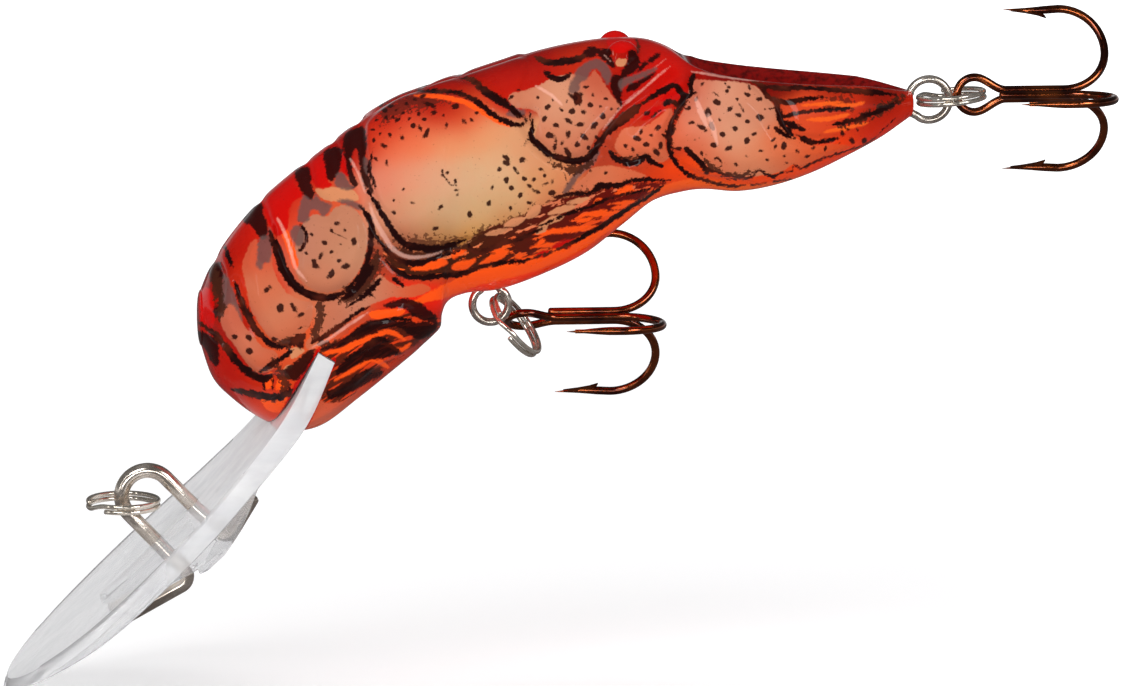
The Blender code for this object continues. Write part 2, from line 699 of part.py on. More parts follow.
def double_hook(single_deg):
    """One wire: point, bend, shank, eye, shank, bend, point."""
    across = roll(single_deg).cross(Vector((1, 0, 0)))
    first, first_widths = prong(roll(single_deg + DOUBLE_SPREAD), across * HOOK_PAIR_HALF)
    second, second_widths = prong(roll(single_deg - DOUBLE_SPREAD), -across * HOOK_PAIR_HALF)
    # Eye as (x along the shank, distance across it)
    flank = [(HOOK_PAIR_END, HOOK_PAIR_HALF), (HOOK_EYE_LEN, HOOK_PAIR_HALF)]
    for k in range(1, 6):
        x = HOOK_EYE_LEN * (1 - k / 6)
        swell = 0.5 + 0.5 * math.cos(math.pi * x / HOOK_EYE_LEN)
        flank.append((x, HOOK_PAIR_HALF + (HOOK_EYE_R - HOOK_PAIR_HALF) * swell))
    arc = []
    for k in range(9):
        angle = math.pi / 2 + math.pi * k / 8
        arc.append((HOOK_EYE_R * math.cos(angle), HOOK_EYE_R * math.sin(angle)))
    loop = flank + arc + [(x, -side) for x, side in reversed(flank)]
    middle = [Vector((x, 0, 0)) + across * side for x, side in loop]
    return first[::-1] + middle + second, first_widths[::-1] + [1.0] * len(middle) + second_widths


def single_hook(single_deg):
    direction = roll(single_deg)
    offset = direction * SINGLE_OFFSET
    points, widths = prong(direction, offset)
    start = [Vector((x, 0, 0)) + offset for x in SINGLE_SHANK]
    return start + points, [1.0] * len(start) + widths


def treble(prefix, eye_centre, single_deg, parent):
    """Treble hook with its shank along +X; single_deg is the roll of the single hook."""
    for part, (points, widths) in (("double_hook", double_hook(single_deg)),
                                   ("single_hook", single_hook(single_deg))):
        add_wire(prefix + "_treble_" + part, [p + eye_centre for p in points],
                 HOOK_WIRE_R, BRONZE, parent, widths=widths)


# -------------------------------------------------------- rings with their hooks
def build_line_ring():
    split_ring("line_tie_split_ring", LINE_RING_R, TIE_ARCH + LINE_RING_SHIFT,
               along=Vector((1, 0, 0)), across=Vector((0, 1, 0.04)),
               parent=pivot("line_ring_pivot", TIE_ARCH), turned=215)


def build_belly_hook():
    out = BELLY_RING_OUT
    across = (Vector((0, math.cos(BELLY_RING_TILT), 0))
              + quarter_turn(out) * math.sin(BELLY_RING_TILT))
    centre = BELLY_EYE + BELLY_RING_SHIFT + out * BELLY_RING_R
    split_ring("belly_split_ring", BELLY_RING_R, centre, out, across,
               parent=pivot("belly_ring_pivot", BELLY_EYE), turned=250)
    crossing = centre + (out * math.cos(BELLY_HOOK_TURN)
                         + across * math.sin(BELLY_HOOK_TURN)) * BELLY_RING_R
    treble("belly", crossing + BELLY_HOOK_SHIFT, 31, pivot("belly_hook_pivot", crossing))


def build_tail_hook():
    centre = TAIL_EYE + TAIL_RING_OUT * (TAIL_RING_R - TAIL_RING_INSET)
    split_ring("tail_split_ring", TAIL_RING_R, centre, TAIL_RING_OUT, Vector((0, 1, 0)),
               parent=pivot("tail_ring_pivot", centre), turned=120)
    crossing = centre + TAIL_RING_OUT * TAIL_RING_R
    treble("tail", crossing + TAIL_HOOK_SHIFT, 271, pivot("tail_hook_pivot", crossing))


# ---------------------------------------------------------- ballast and rattles
def build_ballast():
    mesh = cylinder("ballast_weight", BALLAST, BALLAST_R, -BALLAST_HALF, BALLAST_HALF,
                    BALLAST_SEGMENTS)
    smooth(add_part("ballast_weight", mesh, LEAD), 40)


def build_rattles():
    for number, centre in enumerate(LANES, 1):
        name = "rattle_ball_%d" % number
        shot = add_part(name, ball(name, centre, BALL_R, around=16, rows=10), STEEL,
                        pivot("rattle_pivot_%d" % number, centre))
        shot.data.shade_smooth()


build_shells()
build_lip()
build_line_tie()
build_line_ring()
build_hanger("belly_hook_hanger", BELLY_EYE, BELLY_ANCHOR, BELLY_EYE_R)
build_hanger("tail_hook_hanger", TAIL_EYE, TAIL_ANCHOR, TAIL_EYE_R)
build_belly_hook()
build_tail_hook()
build_ballast()
build_rattles()
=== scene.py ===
"""A crawfish-painted crankbait with a clear diving lip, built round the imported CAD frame.

The nose points to -X, the tail to +X, the back to +Z; the left shell is on -Y.  Lengths are
millimetres, turned into metres by MM.  Shells are two relief-moulded halves; lip, wires, split
rings and treble hooks follow, then the stage.  The paint is laid out on a side elevation with
its own grid, u to the tail and v down, and its edge distances are kept on the mesh in that grid.
"""
import json
import math

import bmesh
import bpy
import numpy as np
from mathutils import Matrix, Vector

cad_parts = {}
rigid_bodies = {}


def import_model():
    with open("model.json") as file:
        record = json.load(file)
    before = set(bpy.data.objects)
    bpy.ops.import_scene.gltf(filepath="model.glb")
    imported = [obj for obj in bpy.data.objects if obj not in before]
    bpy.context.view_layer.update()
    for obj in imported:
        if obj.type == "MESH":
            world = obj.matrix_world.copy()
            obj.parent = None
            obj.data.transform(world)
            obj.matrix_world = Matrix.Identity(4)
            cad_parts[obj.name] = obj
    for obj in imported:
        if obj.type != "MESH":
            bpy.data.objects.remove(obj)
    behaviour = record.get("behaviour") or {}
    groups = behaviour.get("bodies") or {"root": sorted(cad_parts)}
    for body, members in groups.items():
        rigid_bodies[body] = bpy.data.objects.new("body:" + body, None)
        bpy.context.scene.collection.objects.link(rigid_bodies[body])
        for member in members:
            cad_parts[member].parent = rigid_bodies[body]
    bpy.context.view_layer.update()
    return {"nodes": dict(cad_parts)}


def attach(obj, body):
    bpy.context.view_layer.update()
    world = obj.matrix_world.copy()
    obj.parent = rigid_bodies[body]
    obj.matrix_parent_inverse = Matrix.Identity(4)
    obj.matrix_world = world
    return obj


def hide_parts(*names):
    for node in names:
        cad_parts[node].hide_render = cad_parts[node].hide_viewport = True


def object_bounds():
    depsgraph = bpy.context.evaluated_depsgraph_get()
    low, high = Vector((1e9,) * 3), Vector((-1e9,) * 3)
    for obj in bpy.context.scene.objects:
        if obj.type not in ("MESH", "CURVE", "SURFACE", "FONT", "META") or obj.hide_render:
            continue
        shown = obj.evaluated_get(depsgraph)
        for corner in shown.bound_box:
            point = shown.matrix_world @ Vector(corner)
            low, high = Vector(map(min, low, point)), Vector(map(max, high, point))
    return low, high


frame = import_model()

MM = 0.001
# The elevation's view direction, and its axes to the right and up
AZIMUTH, HEIGHT_ANGLE = math.radians(-5.0), math.radians(9.0)
RIGHT = np.array([math.cos(AZIMUTH), math.sin(AZIMUTH), 0.0])
UP = np.array([-math.sin(AZIMUTH) * math.sin(HEIGHT_ANGLE),
               math.cos(AZIMUTH) * math.sin(HEIGHT_ANGLE), math.cos(HEIGHT_ANGLE)])
GRID_STEP = 0.0815                 # mm in one step of the paint grid
GRID_ORIGIN = (558.5, 347.2)       # u, v of the frame's origin

scene = bpy.context.scene
PIECES = bpy.data.collections.new("lure_looks")
scene.collection.children.link(PIECES)
TOOLS = bpy.data.collections.new("lure_tools")
scene.collection.children.link(TOOLS)

# ------------------------------------------------------------------- main sizes
ORIGIN = (-0.61, -0.18)            # x, z of the frame's origin as the outlines are drawn


def centred(point):
    return (point[0] - ORIGIN[0], point[1] - ORIGIN[1])


# Body cross sections: x, top z, bottom z, half width, depth of the valley along the back
STATIONS = [
    (-29.75, 4.9, 0.4, 2.5, 0.0), (-28.85, 6.9, -2.2, 4.3, 0.0),
    (-27.3, 9.3, -3.9, 5.5, 0.0), (-25.0, 12.0, -5.6, 6.3, 0.0),
    (-22.5, 14.2, -6.6, 6.9, 0.0), (-20.0, 16.1, -6.2, 7.2, 0.0),
    (-17.0, 18.4, -4.0, 7.5, 0.0), (-14.0, 20.2, -1.6, 7.6, 0.0),
    (-12.0, 21.0, 0.1, 7.7, 0.0), (-10.7, 21.5, 1.6, 7.7, 0.0),
    (-9.9, 21.75, 3.7, 7.7, 0.0), (-8.3, 22.2, 4.5, 7.7, 0.0),
    (-5.5, 23.1, 4.8, 7.7, 0.0), (-2.0, 24.2, 6.0, 7.6, 0.0),
    (1.5, 24.9, 7.7, 7.4, 0.0), (4.5, 25.15, 10.0, 7.1, 0.0),
    (7.0, 24.9, 11.9, 6.8, 0.0), (9.3, 24.0, 12.6, 6.5, 0.3),
    (11.2, 23.3, 12.8, 6.4, 2.0), (14.0, 22.9, 12.6, 6.5, 3.3),
    (17.0, 22.5, 13.1, 6.4, 3.5), (20.0, 22.1, 14.1, 5.9, 2.8),
    (23.0, 21.7, 15.5, 4.9, 2.0), (25.5, 21.3, 16.8, 3.7, 1.0),
    (27.2, 20.9, 17.9, 2.5, 0.3), (28.1, 20.6, 18.5, 1.6, 0.0),
]
STATIONS = [(x - ORIGIN[0], top - ORIGIN[1], bottom - ORIGIN[1], half, valley)
            for x, top, bottom, half, valley in STATIONS]
CAVITY_INSET = 1.4                 # outer skin to the hollow inside
CAVITY_ENDS = (-27.9 - ORIGIN[0], 17.9 - ORIGIN[0])
NOSE_Z, TAIL_Z = 2.8 - ORIGIN[1], 19.6 - ORIGIN[1]
NOSE_X, TAIL_X = -30.05 - ORIGIN[0], 28.35 - ORIGIN[0]
PARTING_GAP = 0.012                # each shell's face from the mid plane
EYE_CENTRE, EYE_RADIUS = np.array([4.3 - ORIGIN[0], 3.35, 23.93 - ORIGIN[1]]), 1.42
BODY_ROWS, AROUND_BODY, AROUND_CAVITY = 430, 184, 30

# Side outlines in x, z
LIP_TOP = [(-20.65, 0.75), (-23.80, -5.15), (-28.60, -10.75), (-33.70, -15.75),
           (-39.50, -21.20), (-45.85, -26.75)]
LIP_BOTTOM = [(-46.05, -27.70), (-38.60, -22.35), (-32.60, -16.95), (-27.45, -11.90),
              (-22.05, -5.85), (-19.35, -0.05)]
BOSS = [(-25.2, -8.0), (-26.2, -11.65), (-28.40, -15.31), (-29.6, -17.45), (-30.76, -18.14),
        (-36.56, -21.34), (-38.3, -21.2), (-33.0, -15.9), (-28.0, -10.9)]
BOSS_CHEEK = [
    (-24.95, -9.0), (-25.2, -11.0), (-26.0, -13.1), (-26.9, -15.0), (-28.0, -16.6),
    (-29.4, -17.9), (-30.1, -18.2), (-30.3, -17.0), (-28.3, -14.2), (-26.5, -11.2), (-25.7, -8.9)]
LIP_TOP, LIP_BOTTOM, BOSS, BOSS_CHEEK = (
    [centred(point) for point in outline] for outline in (LIP_TOP, LIP_BOTTOM, BOSS, BOSS_CHEEK))
# Lip plan: distance beyond the bend, half width
LIP_HALF = [(-12.0, 7.5), (-3.0, 7.5), (0.0, 7.5), (2.2, 7.9), (4.5, 8.9), (8.0, 10.4),
            (12.0, 11.6), (16.5, 12.2), (20.5, 12.0), (24.0, 10.9), (27.0, 8.8),
            (29.4, 5.8), (30.8, 2.7), (31.1, 0.0)]

TIE_MID = centred((-32.34, -13.91))
TIE_DOWN, TIE_OUT = (-0.724, -0.690), (-0.690, 0.724)   # along the blade, and off its face
TIE_FRONT_END, TIE_FRONT_KNEE = centred((-36.2, -22.0)), centred((-30.52, -18.87))
TIE_REAR_KNEE, TIE_REAR_END = centred((-27.74, -15.69)), centred((-25.7, -12.3))
TIE_RADIUS, TIE_ARCH_RADIUS, TIE_STAND, TIE_FILLET = 0.62, 2.10, 2.69, 0.85
BELLY_EYE, BELLY_ANCHOR = centred((-6.17, 3.45)), centred((-6.17, 8.20))
TAIL_EYE, TAIL_ANCHOR = centred((29.67, 19.83)), centred((23.45, 17.70))
BELLY_EYE_RADIUS, TAIL_EYE_RADIUS = 1.475, 1.68
HANGER_WIRE, HANGER_NECK, ANCHOR_RADIUS = 0.33, 0.42, 1.0
LINE_RING, BELLY_RING, TAIL_RING, RING_WIRE = 2.85, 2.80, 2.70, 0.20
HOOK_WIRE, HOOK_BEND_X, HOOK_BEND_RADIUS, HOOK_GAPE = 0.34, 7.35, 3.60, 7.56
HOOK_POINT_X, HOOK_EYE_RADIUS, HOOK_EYE_LENGTH = 2.80, 1.42, 2.60


# ------------------------------------------------------------------ small tools
def spline(rows, steps):
    """Catmull-Rom curve through rows of any width."""
    out = []
    for i in range(len(rows) - 1):
        four = rows[max(i - 1, 0)], rows[i], rows[i + 1], rows[min(i + 2, len(rows) - 1)]
        for k in range(steps):
            t = k / steps
            out.append(tuple(
                0.5 * (2 * start + (end - before) * t
                       + (2 * before - 5 * start + 4 * end - after) * t * t
                       + (3 * start - before - 3 * end + after) * t ** 3)
                for before, start, end, after in zip(*four)))
    out.append(tuple(rows[-1]))
    return out


def closed_spline(points, steps):
    points = [tuple(point) for point in points]
    out = spline(points[-2:] + points + points[:3], steps)
    return out[2 * steps:(2 + len(points)) * steps]


def smoothstep(value, low, high):
    t = np.clip((value - low) / (high - low), 0, 1)
    return t * t * (3 - 2 * t)


def run_lengths(steps):
    return np.concatenate([[0], np.cumsum(steps)])


def in_plane(point):
    """The point (x, z) on the lure's mid plane."""
    return Vector((point[0], 0, point[1]))


def filled(bm, mesh):
    bm.to_mesh(mesh)
    bm.free()
    return mesh


def mesh_from(name, verts, faces, smooth=True):
    mesh = bpy.data.meshes.new(name)
    mesh.from_pydata([tuple(vert) for vert in np.asarray(verts, float) * MM], [], faces)
    mesh.update()
    if smooth:
        mesh.shade_smooth()
    bm = bmesh.new()
    bm.from_mesh(mesh)
    bmesh.ops.recalc_face_normals(bm, faces=bm.faces)
    return filled(bm, mesh)


def add(name, mesh, node, slot, *materials, body="lure_body"):
    obj = bpy.data.objects.new(name, mesh)
    PIECES.objects.link(obj)
    mesh.materials.clear()
    for material in materials:
        mesh.materials.append(material)
    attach(obj, body)
    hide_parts(node)


def cut(mesh, operation, other):
    """mesh combined with other by an exact boolean; both helper objects are removed."""
    pair = []
    for name, data in (("cut_a", mesh), ("cut_b", other)):
        obj = bpy.data.objects.new(name, data)
        TOOLS.objects.link(obj)
        pair.append(obj)
    modifier = pair[0].modifiers.new("cut", "BOOLEAN")
    modifier.operation, modifier.solver, modifier.object = operation, "EXACT", pair[1]
    bpy.context.view_layer.update()
    graph = bpy.context.evaluated_depsgraph_get()
    out = bpy.data.meshes.new_from_object(pair[0].evaluated_get(graph))
    for obj in pair:
        bpy.data.objects.remove(obj, do_unlink=True)
    return out


def sharpen(mesh, name, degrees):
    mesh.name = name
    mesh.shade_smooth()
    mesh.set_sharp_from_angle(angle=math.radians(degrees))
    return mesh


def sweep(name, points, radii, around=16, cyclic=False):
    """Round tube along points, with domed ends unless it is closed."""
    points = [Vector(point) for point in points]
    if not hasattr(radii, "__len__"):
        radii = [radii] * len(points)
    count = len(points)
    tangents = []
    for i in range(count):
        before = points[(i - 1) % count] if (cyclic or i > 0) else points[i]
        after = points[(i + 1) % count] if (cyclic or i < count - 1) else points[i]
        tangents.append((after - before).normalized())
    first = tangents[0]
    ref = Vector((0, 1, 0)) if abs(first.y) < 0.9 else Vector((1, 0, 0))
    normals = [(ref - first * ref.dot(first)).normalized()]
    for last, tangent in zip(tangents, tangents[1:]):
        normal = last.rotation_difference(tangent) @ normals[-1]
        normals.append((normal - tangent * normal.dot(tangent)).normalized())
    twist = 0.0
    if cyclic:
        normal = tangents[-1].rotation_difference(first) @ normals[-1]
        twist = math.atan2(normal.cross(normals[0]).dot(first), normal.dot(normals[0]))
    verts, faces, rings = [], [], []

    def ring(centre, tangent, normal, radius):
        side = tangent.cross(normal)
        rings.append(len(verts))
        for k in range(around):
            angle = 2 * math.pi * k / around
            verts.append(centre + normal * (math.cos(angle) * radius)
                         + side * (math.sin(angle) * radius))

    def dome(end, sign, shares):
        for k in shares:
            ring(points[end] + tangents[end] * (sign * radii[end] * k * 0.6), tangents[end],
                 normals[end], radii[end] * math.sqrt(1 - k * k))

    if not cyclic:
        dome(0, -1, (0.95, 0.75, 0.4))
    for i in range(count):
        normal = normals[i]
        if cyclic:
            normal = Matrix.Rotation(twist * i / count, 3, tangents[i]) @ normal
        ring(points[i], tangents[i], normal, radii[i])
    if not cyclic:
        dome(-1, 1, (0.4, 0.75, 0.95))
    for i in range(len(rings) if cyclic else len(rings) - 1):
        near, far = rings[i], rings[(i + 1) % len(rings)]
        for k in range(around):
            m = (k + 1) % around
            faces.append((near + k, near + m, far + m, far + k))
    if not cyclic:
        faces.append(tuple(rings[0] + k for k in reversed(range(around))))
        faces.append(tuple(rings[-1] + k for k in range(around)))
    return mesh_from(name, verts, faces)


def extruded(name, front, back, smooth):
    """Solid between two matching outlines."""
    n = len(front)
    faces = [tuple(range(n)), tuple(reversed(range(n, 2 * n)))]
    faces += [(i, (i + 1) % n, n + (i + 1) % n, n + i) for i in range(n)]
    return mesh_from(name, front + back, faces, smooth)


def prism(outline, half):
    """Outline in (x, z), from -half to +half along Y."""
    return extruded("prism", [(x, -half, z) for x, z in outline],
                    [(x, half, z) for x, z in outline], smooth=False)


def beveled_prism(outline, half, width):
    bm = bmesh.new()
    bm.from_mesh(prism(outline, half))
    bmesh.ops.bevel(bm, geom=list(bm.edges), offset=width * MM, segments=3, profile=0.5,
                    affect="EDGES")
    return filled(bm, bpy.data.meshes.new("boss"))


def join(meshes):
    bm = bmesh.new()
    for mesh in meshes:
        bm.from_mesh(mesh)
    return filled(bm, bpy.data.meshes.new("joined"))


def grown(outline, margin):
    """The closed outline moved outwards by margin."""
    n = len(outline)
    area = sum(outline[i][0] * outline[(i + 1) % n][1] - outline[(i + 1) % n][0] * outline[i][1]
               for i in range(n))
    side = 1 if area > 0 else -1
    out = []
    for i in range(n):
        before, here, after = (Vector(outline[(i + k) % n]) for k in (-1, 0, 1))
        enter, leave = (here - before).normalized(), (after - here).normalized()
        normal = Vector((enter.y, -enter.x)) * side
        bisector = (normal + Vector((leave.y, -leave.x)) * side).normalized()
        out.append(tuple(here + bisector * (margin / max(0.45, bisector.dot(normal)))))
    return out


# ------------------------------------------------------- the side elevation's art
def path(text):
    """Rows of numbers: commas within a row, blanks between rows."""
    return [tuple(map(float, row.split(","))) for row in text.split()]


def shapes(text):
    """Closed outlines of u,v points, with semicolons between them."""
    return [path(shape) for shape in text.split(";")]


def strokes(text):
    """(points, settings) of each "settings: u,v points" entry, semicolons between them."""
    pairs = (entry.split(":") for entry in text.split(";"))
    return [(path(points), path(settings)[0]) for settings, points in pairs]


NOSE_PLATE = path("""232,304 240,305 246,322 254,333 262,343 270,349 278,351 281,356 280,363
275,370 262,373 254,368 246,358 238,345 230,335 224,322 225,312""")
FRONT_PLATE = path("""258,240 263,248 262,258 268,264 275,255 277,270 284,285 295,297 307,301
315,303 316,312 314,322 308,332 300,337 290,342 284,344 276,340 268,332 260,320 254,308
250,290 246,268 250,252""")
OVAL = path("""330,218 338,209 350,207 360,213 367,225 370,240 368,258 362,272 352,284 340,291
328,293 316,290 306,283 298,270 299,245 304,228 316,216""")
CHEEK = path("""536,90 555,80 575,77 588,80 595,73 606,90 612,100 620,110 600,133 590,150
592,157 580,160 560,158 545,150 535,140 540,120 530,112 515,110 510,98""")
ARM = path("""628,130 645,128 660,118 668,110 672,118 665,135 665,150 668,160 655,165 640,160
630,163 620,158 614,150 617,140 622,132""")
UNDER_ARM = path("573,190 585,178 592,170 610,168 630,172 645,178 622,185 605,186 585,194")
CLAW = path("""690,84 705,83 730,84 752,88 762,97 772,108 778,122 788,134 798,142 815,147
838,145 848,149 830,156 815,161 800,168 792,166 780,173 765,176 750,178 735,179 716,173
705,168 692,158 680,150 671,148 672,134 677,122 684,108""")
PEACH_BAND = path("""322,300 340,299 356,295 372,284 382,275 392,283 408,287 424,284 432,290
418,297 404,298 390,299 365,310 340,329 321,345 312,350 308,344 317,330 319,312""")
PANELS = [NOSE_PLATE, FRONT_PLATE, OVAL, CHEEK, ARM, UNDER_ARM, CLAW, PEACH_BAND]

ORANGES = shapes("""412,270 425,266 435,260 447,260 448,266 425,272;
452,252 460,250 468,252 455,260; 453,270 465,264 476,259 468,270;
482,264 492,256 508,250 506,257 494,264; 613,196 624,190 634,191 628,196;
592,206 598,200 602,201 597,207; 607,206 622,202 640,202 632,206;
582,218 600,213 625,212 610,217; 576,223 584,219 593,219 586,224;
530,235 560,229 600,226 585,232 548,236; 535,246 541,240 546,241 541,247;
488,253 496,250 507,249 502,254; 515,259 518,256 524,256 521,260;
530,249 540,245 554,244 548,248; 452,268 462,262 477,260 470,267 458,271;
610,210 622,205 638,204 626,210; 616,193 622,188 632,187 628,192;
579,218 590,213 607,211 598,217; 371,313 385,310 400,309 407,311 402,316 378,320;
268,388 270,374 276,372 275,386; 278,389 282,378 290,376 288,388;
262,396 275,397 290,396 286,410 270,410""")
# Pale marks of the pattern; the small one under the eye, at 616,63, is a painted highlight on its
# dome
PALE_MARKS_AND_EYE_HIGHLIGHT = shapes("""318,190 325,200 335,203 360,203 360,196 352,190 340,189;
616,63 626,62 624,68 617,69; 293,349 300,347 308,350 302,355 296,359 293,355;
285,370 290,365 296,365 292,369; 547,216 560,208 576,207 566,214;
540,226 552,218 565,217 556,224; 526,220 532,209 541,207 538,217;
504,227 514,220 526,219 518,227; 535,235 541,226 548,225 545,233;
486,236 496,231 508,230 498,237; 566,205 578,200 590,199 580,205""")
REDS = shapes("""319,350 322,353 300,390 284,418 281,415 298,382;
334,360 338,362 325,392 310,425 306,423 322,388;
606,42 612,38.5 626,37.5 633,40 635,48 629,53 620,56 611,53;
200,300 206,288 214,292 218,312 216,328 204,326;
268,202 290,180 300,190 306,197 296,204 292,212 291,228 280,238 270,220;
310,165 328,155 330,180 335,187 320,190 312,175; 340,152 350,160 352,178 344,172;
552,249 560,242 575,240 568,249; 535,258 541,252 550,252 545,258;
640,124 648,112 662,108 658,118; 658,103 668,96 680,96 672,103;
424,316 427,312 430,314 428,317""")
# Dark wedges of the pattern; the four patches beside and below the eye (595,51; 628,53; 611,79;
# 583,55) are painted shade round its dome
DARK_WEDGES_AND_EYE_SHADE = shapes("""213,280 225,282 226,300 224,310 220,318 216,310 222,303 219,290;
210,270 222,262 227,276 224,282 214,280;
243,218 262,203 265,212 270,225 270,237 264,240 254,228;
296,172 310,168 314,185 318,195 314,202 306,196 300,185;
326,152 343,150 343,165 341,175 337,182 331,182 328,172;
345,140 355,130 367,130 369,150 367,160 372,180 376,196 365,184 362,165 358,150 354,165
360,185 356,190 350,175;
385,305 405,299 415,300 422,303 430,310 437,316 438,325 430,322 415,316 405,308 392,309;
322,350 345,338 365,325 380,320 420,322 438,325 432,335 420,340 412,335 400,328 385,330
370,336 338,348;
345,360 372,345 380,339 388,340 402,352 385,358 365,362 345,372 338,375;
330,390 345,386 372,369 385,373 368,384 350,393 332,399;
203,330 215,340 222,355 220,365 208,350; 285,372 300,360 312,350 318,352 300,380;
595,51 610,52 612,55 611,60 614,68 613,72 605,65 598,59;
628,53 634,54 639,63 638,71 628,79 620,79 621,74 626,68 627,60;
568,96 575,98 581,95 582,104 579,108 572,103; 611,79 622,79 620,90 622,111 616,103 610,90;
583,55 590,49 597,51 598,57 590,60 584,60; 636,73 644,64 660,54.5 656,62 646,69 638,75;
628,88 640,82 655,74 650,81 636,91 627,95;
198,330 216,336 222,343 220,365 214,362 208,350 200,340;
291,338 300,336 306,340 308,347 303,349 297,344""")
# Grey patches on the dark ink: painted reflections of the light on its glossy coat
PAINTED_INK_REFLECTIONS = shapes("""226,275 232,280 240,300 246,322 240,310 233,304 226,312 224,300;
262,240 270,236 272,228 276,240 274,262 268,264 264,270 260,265;
306,197 314,202 318,195 324,202 335,206 330,215 325,218 320,212 313,212 312,222 303,224
301,217;
294,232 300,226 307,232 308,242 302,248 296,242; 340,203 350,201 360,204 368,212 362,212 350,207;
337,182 341,174 348,178 352,185 358,190 348,192 338,188; 366,160 372,164 372,178 367,172;
600,152 595,165 580,178 572,190 563,198 566,188 578,172 590,158;
589,64 598,61.5 606,67 611,75 610,83 607,88 602,80 596,72 590,75 587,82 580,86 579,93 574,97
569,95.5 570,87 574,79 578,71;
618,86 623,82 638,76 654,70 655,73 640,82 626,88 620,93; 508,118 514,112 526,114 520,120""")
STIPPLED = shapes("""385,245 410,250 440,252 470,244 478,232 500,224 530,212 560,198 600,190
650,186 640,200 600,222 560,244 520,258 475,266 440,272 410,272 392,262;
345,292 362,280 372,262 378,250 386,262 380,282 366,298 350,306;
396,244 410,238 440,240 466,238 455,250 415,252; 822,100 850,99 850,110 824,111;
380,112 400,98 430,92 456,100 440,108 410,114 386,126""")
BAND_ZONE = path("""386,254 408,262 438,259 466,244 480,233 500,226 530,213 556,201 590,195
630,186 664,184 655,196 636,208 612,224 580,240 545,254 505,264 470,273 440,278 410,277
394,268""")
FAN_ZONE = path("""320,352 345,336 370,322 400,314 436,317 441,328 414,346 396,358 378,373
352,396 332,403 320,392""")
# Lines the pattern of each zone runs along
BAND_LINE = path("380,255 420,268 460,258 500,244 540,232 580,216 620,201 664,184")
FAN_LINE = path("315,385 345,366 375,345 405,332 445,322")

# Brush strokes: widths spread along the stroke, then its points
ORANGE_STROKES = strokes("""7: 280,225 288,235 296,255 300,270;
5: 415,97 440,99 460,103 478,111 495,122 510,129;
4,7,6,4: 325,353 345,350 360,342 383,333 395,333 406,340; 4: 412,343 402,350 390,345 378,339;
4,6,5: 337,380 360,367 370,360 380,361 390,368;
8,12,14,16,12,8,8,9,9,8,5: 408,305 425,300 446,292 480,278 520,268 560,254 600,232 640,205
665,190 700,184 740,190 790,184 840,166 885,138 903,122;
3,5,3: 828,106 846,108 862,104; 3,4,3: 800,108 822,106 840,104;
3,5,3: 805,122 825,121 848,116; 3,5,3: 822,134 842,130 866,124""")
# Painted highlights: pale pink streaks along ridges, on the claws and on the eye
PAINTED_HIGHLIGHTS = strokes("""3: 280,219 286,230 293,248 299,268 310,282; 2.5: 352,160 362,178 368,195;
3,5,4,2: 372,205 377,220 385,235 395,250 410,258 430,257 445,252; 3: 536,89 550,97 562,108;
2,2,2.4,1.6: 602,133 620,111 640,94 656,80 669,69; 1.4: 654,70.5 665,61; 3: 604,58 610,64;
2: 612,53 613,58; 3,6,3: 694,100 699,114 706,130; 3,5,2: 706,116 712,132 716,148;
2.5: 312,349 330,340 350,326 372,312; 2.2: 690,74 720,79 750,82 785,82 802,81""")
BROWN = strokes("""6,13,15,12,6: 342,302 356,294 368,281 377,266 380,252;
5,8,8,5: 322,300 323,316 318,332 322,342 334,344; 6,10,8: 280,346 292,343 304,338;
5,9,9,5: 276,358 284,372 290,386 280,396; 5,8,5: 258,394 275,398 296,394;
4,9,9,4: 396,250 420,256 446,254 468,248; 6,11,9,5: 214,262 220,284 224,306 222,320;
4,8,5: 550,166 575,172 596,162; 3,9,10,5: 836,128 858,121 882,110 902,97;
3,5,5,3: 690,98 677,114 668,138 670,156; 4,6,5,3: 700,156 712,170 735,178 757,172;
4,7,5: 606,150 622,163 645,159""")
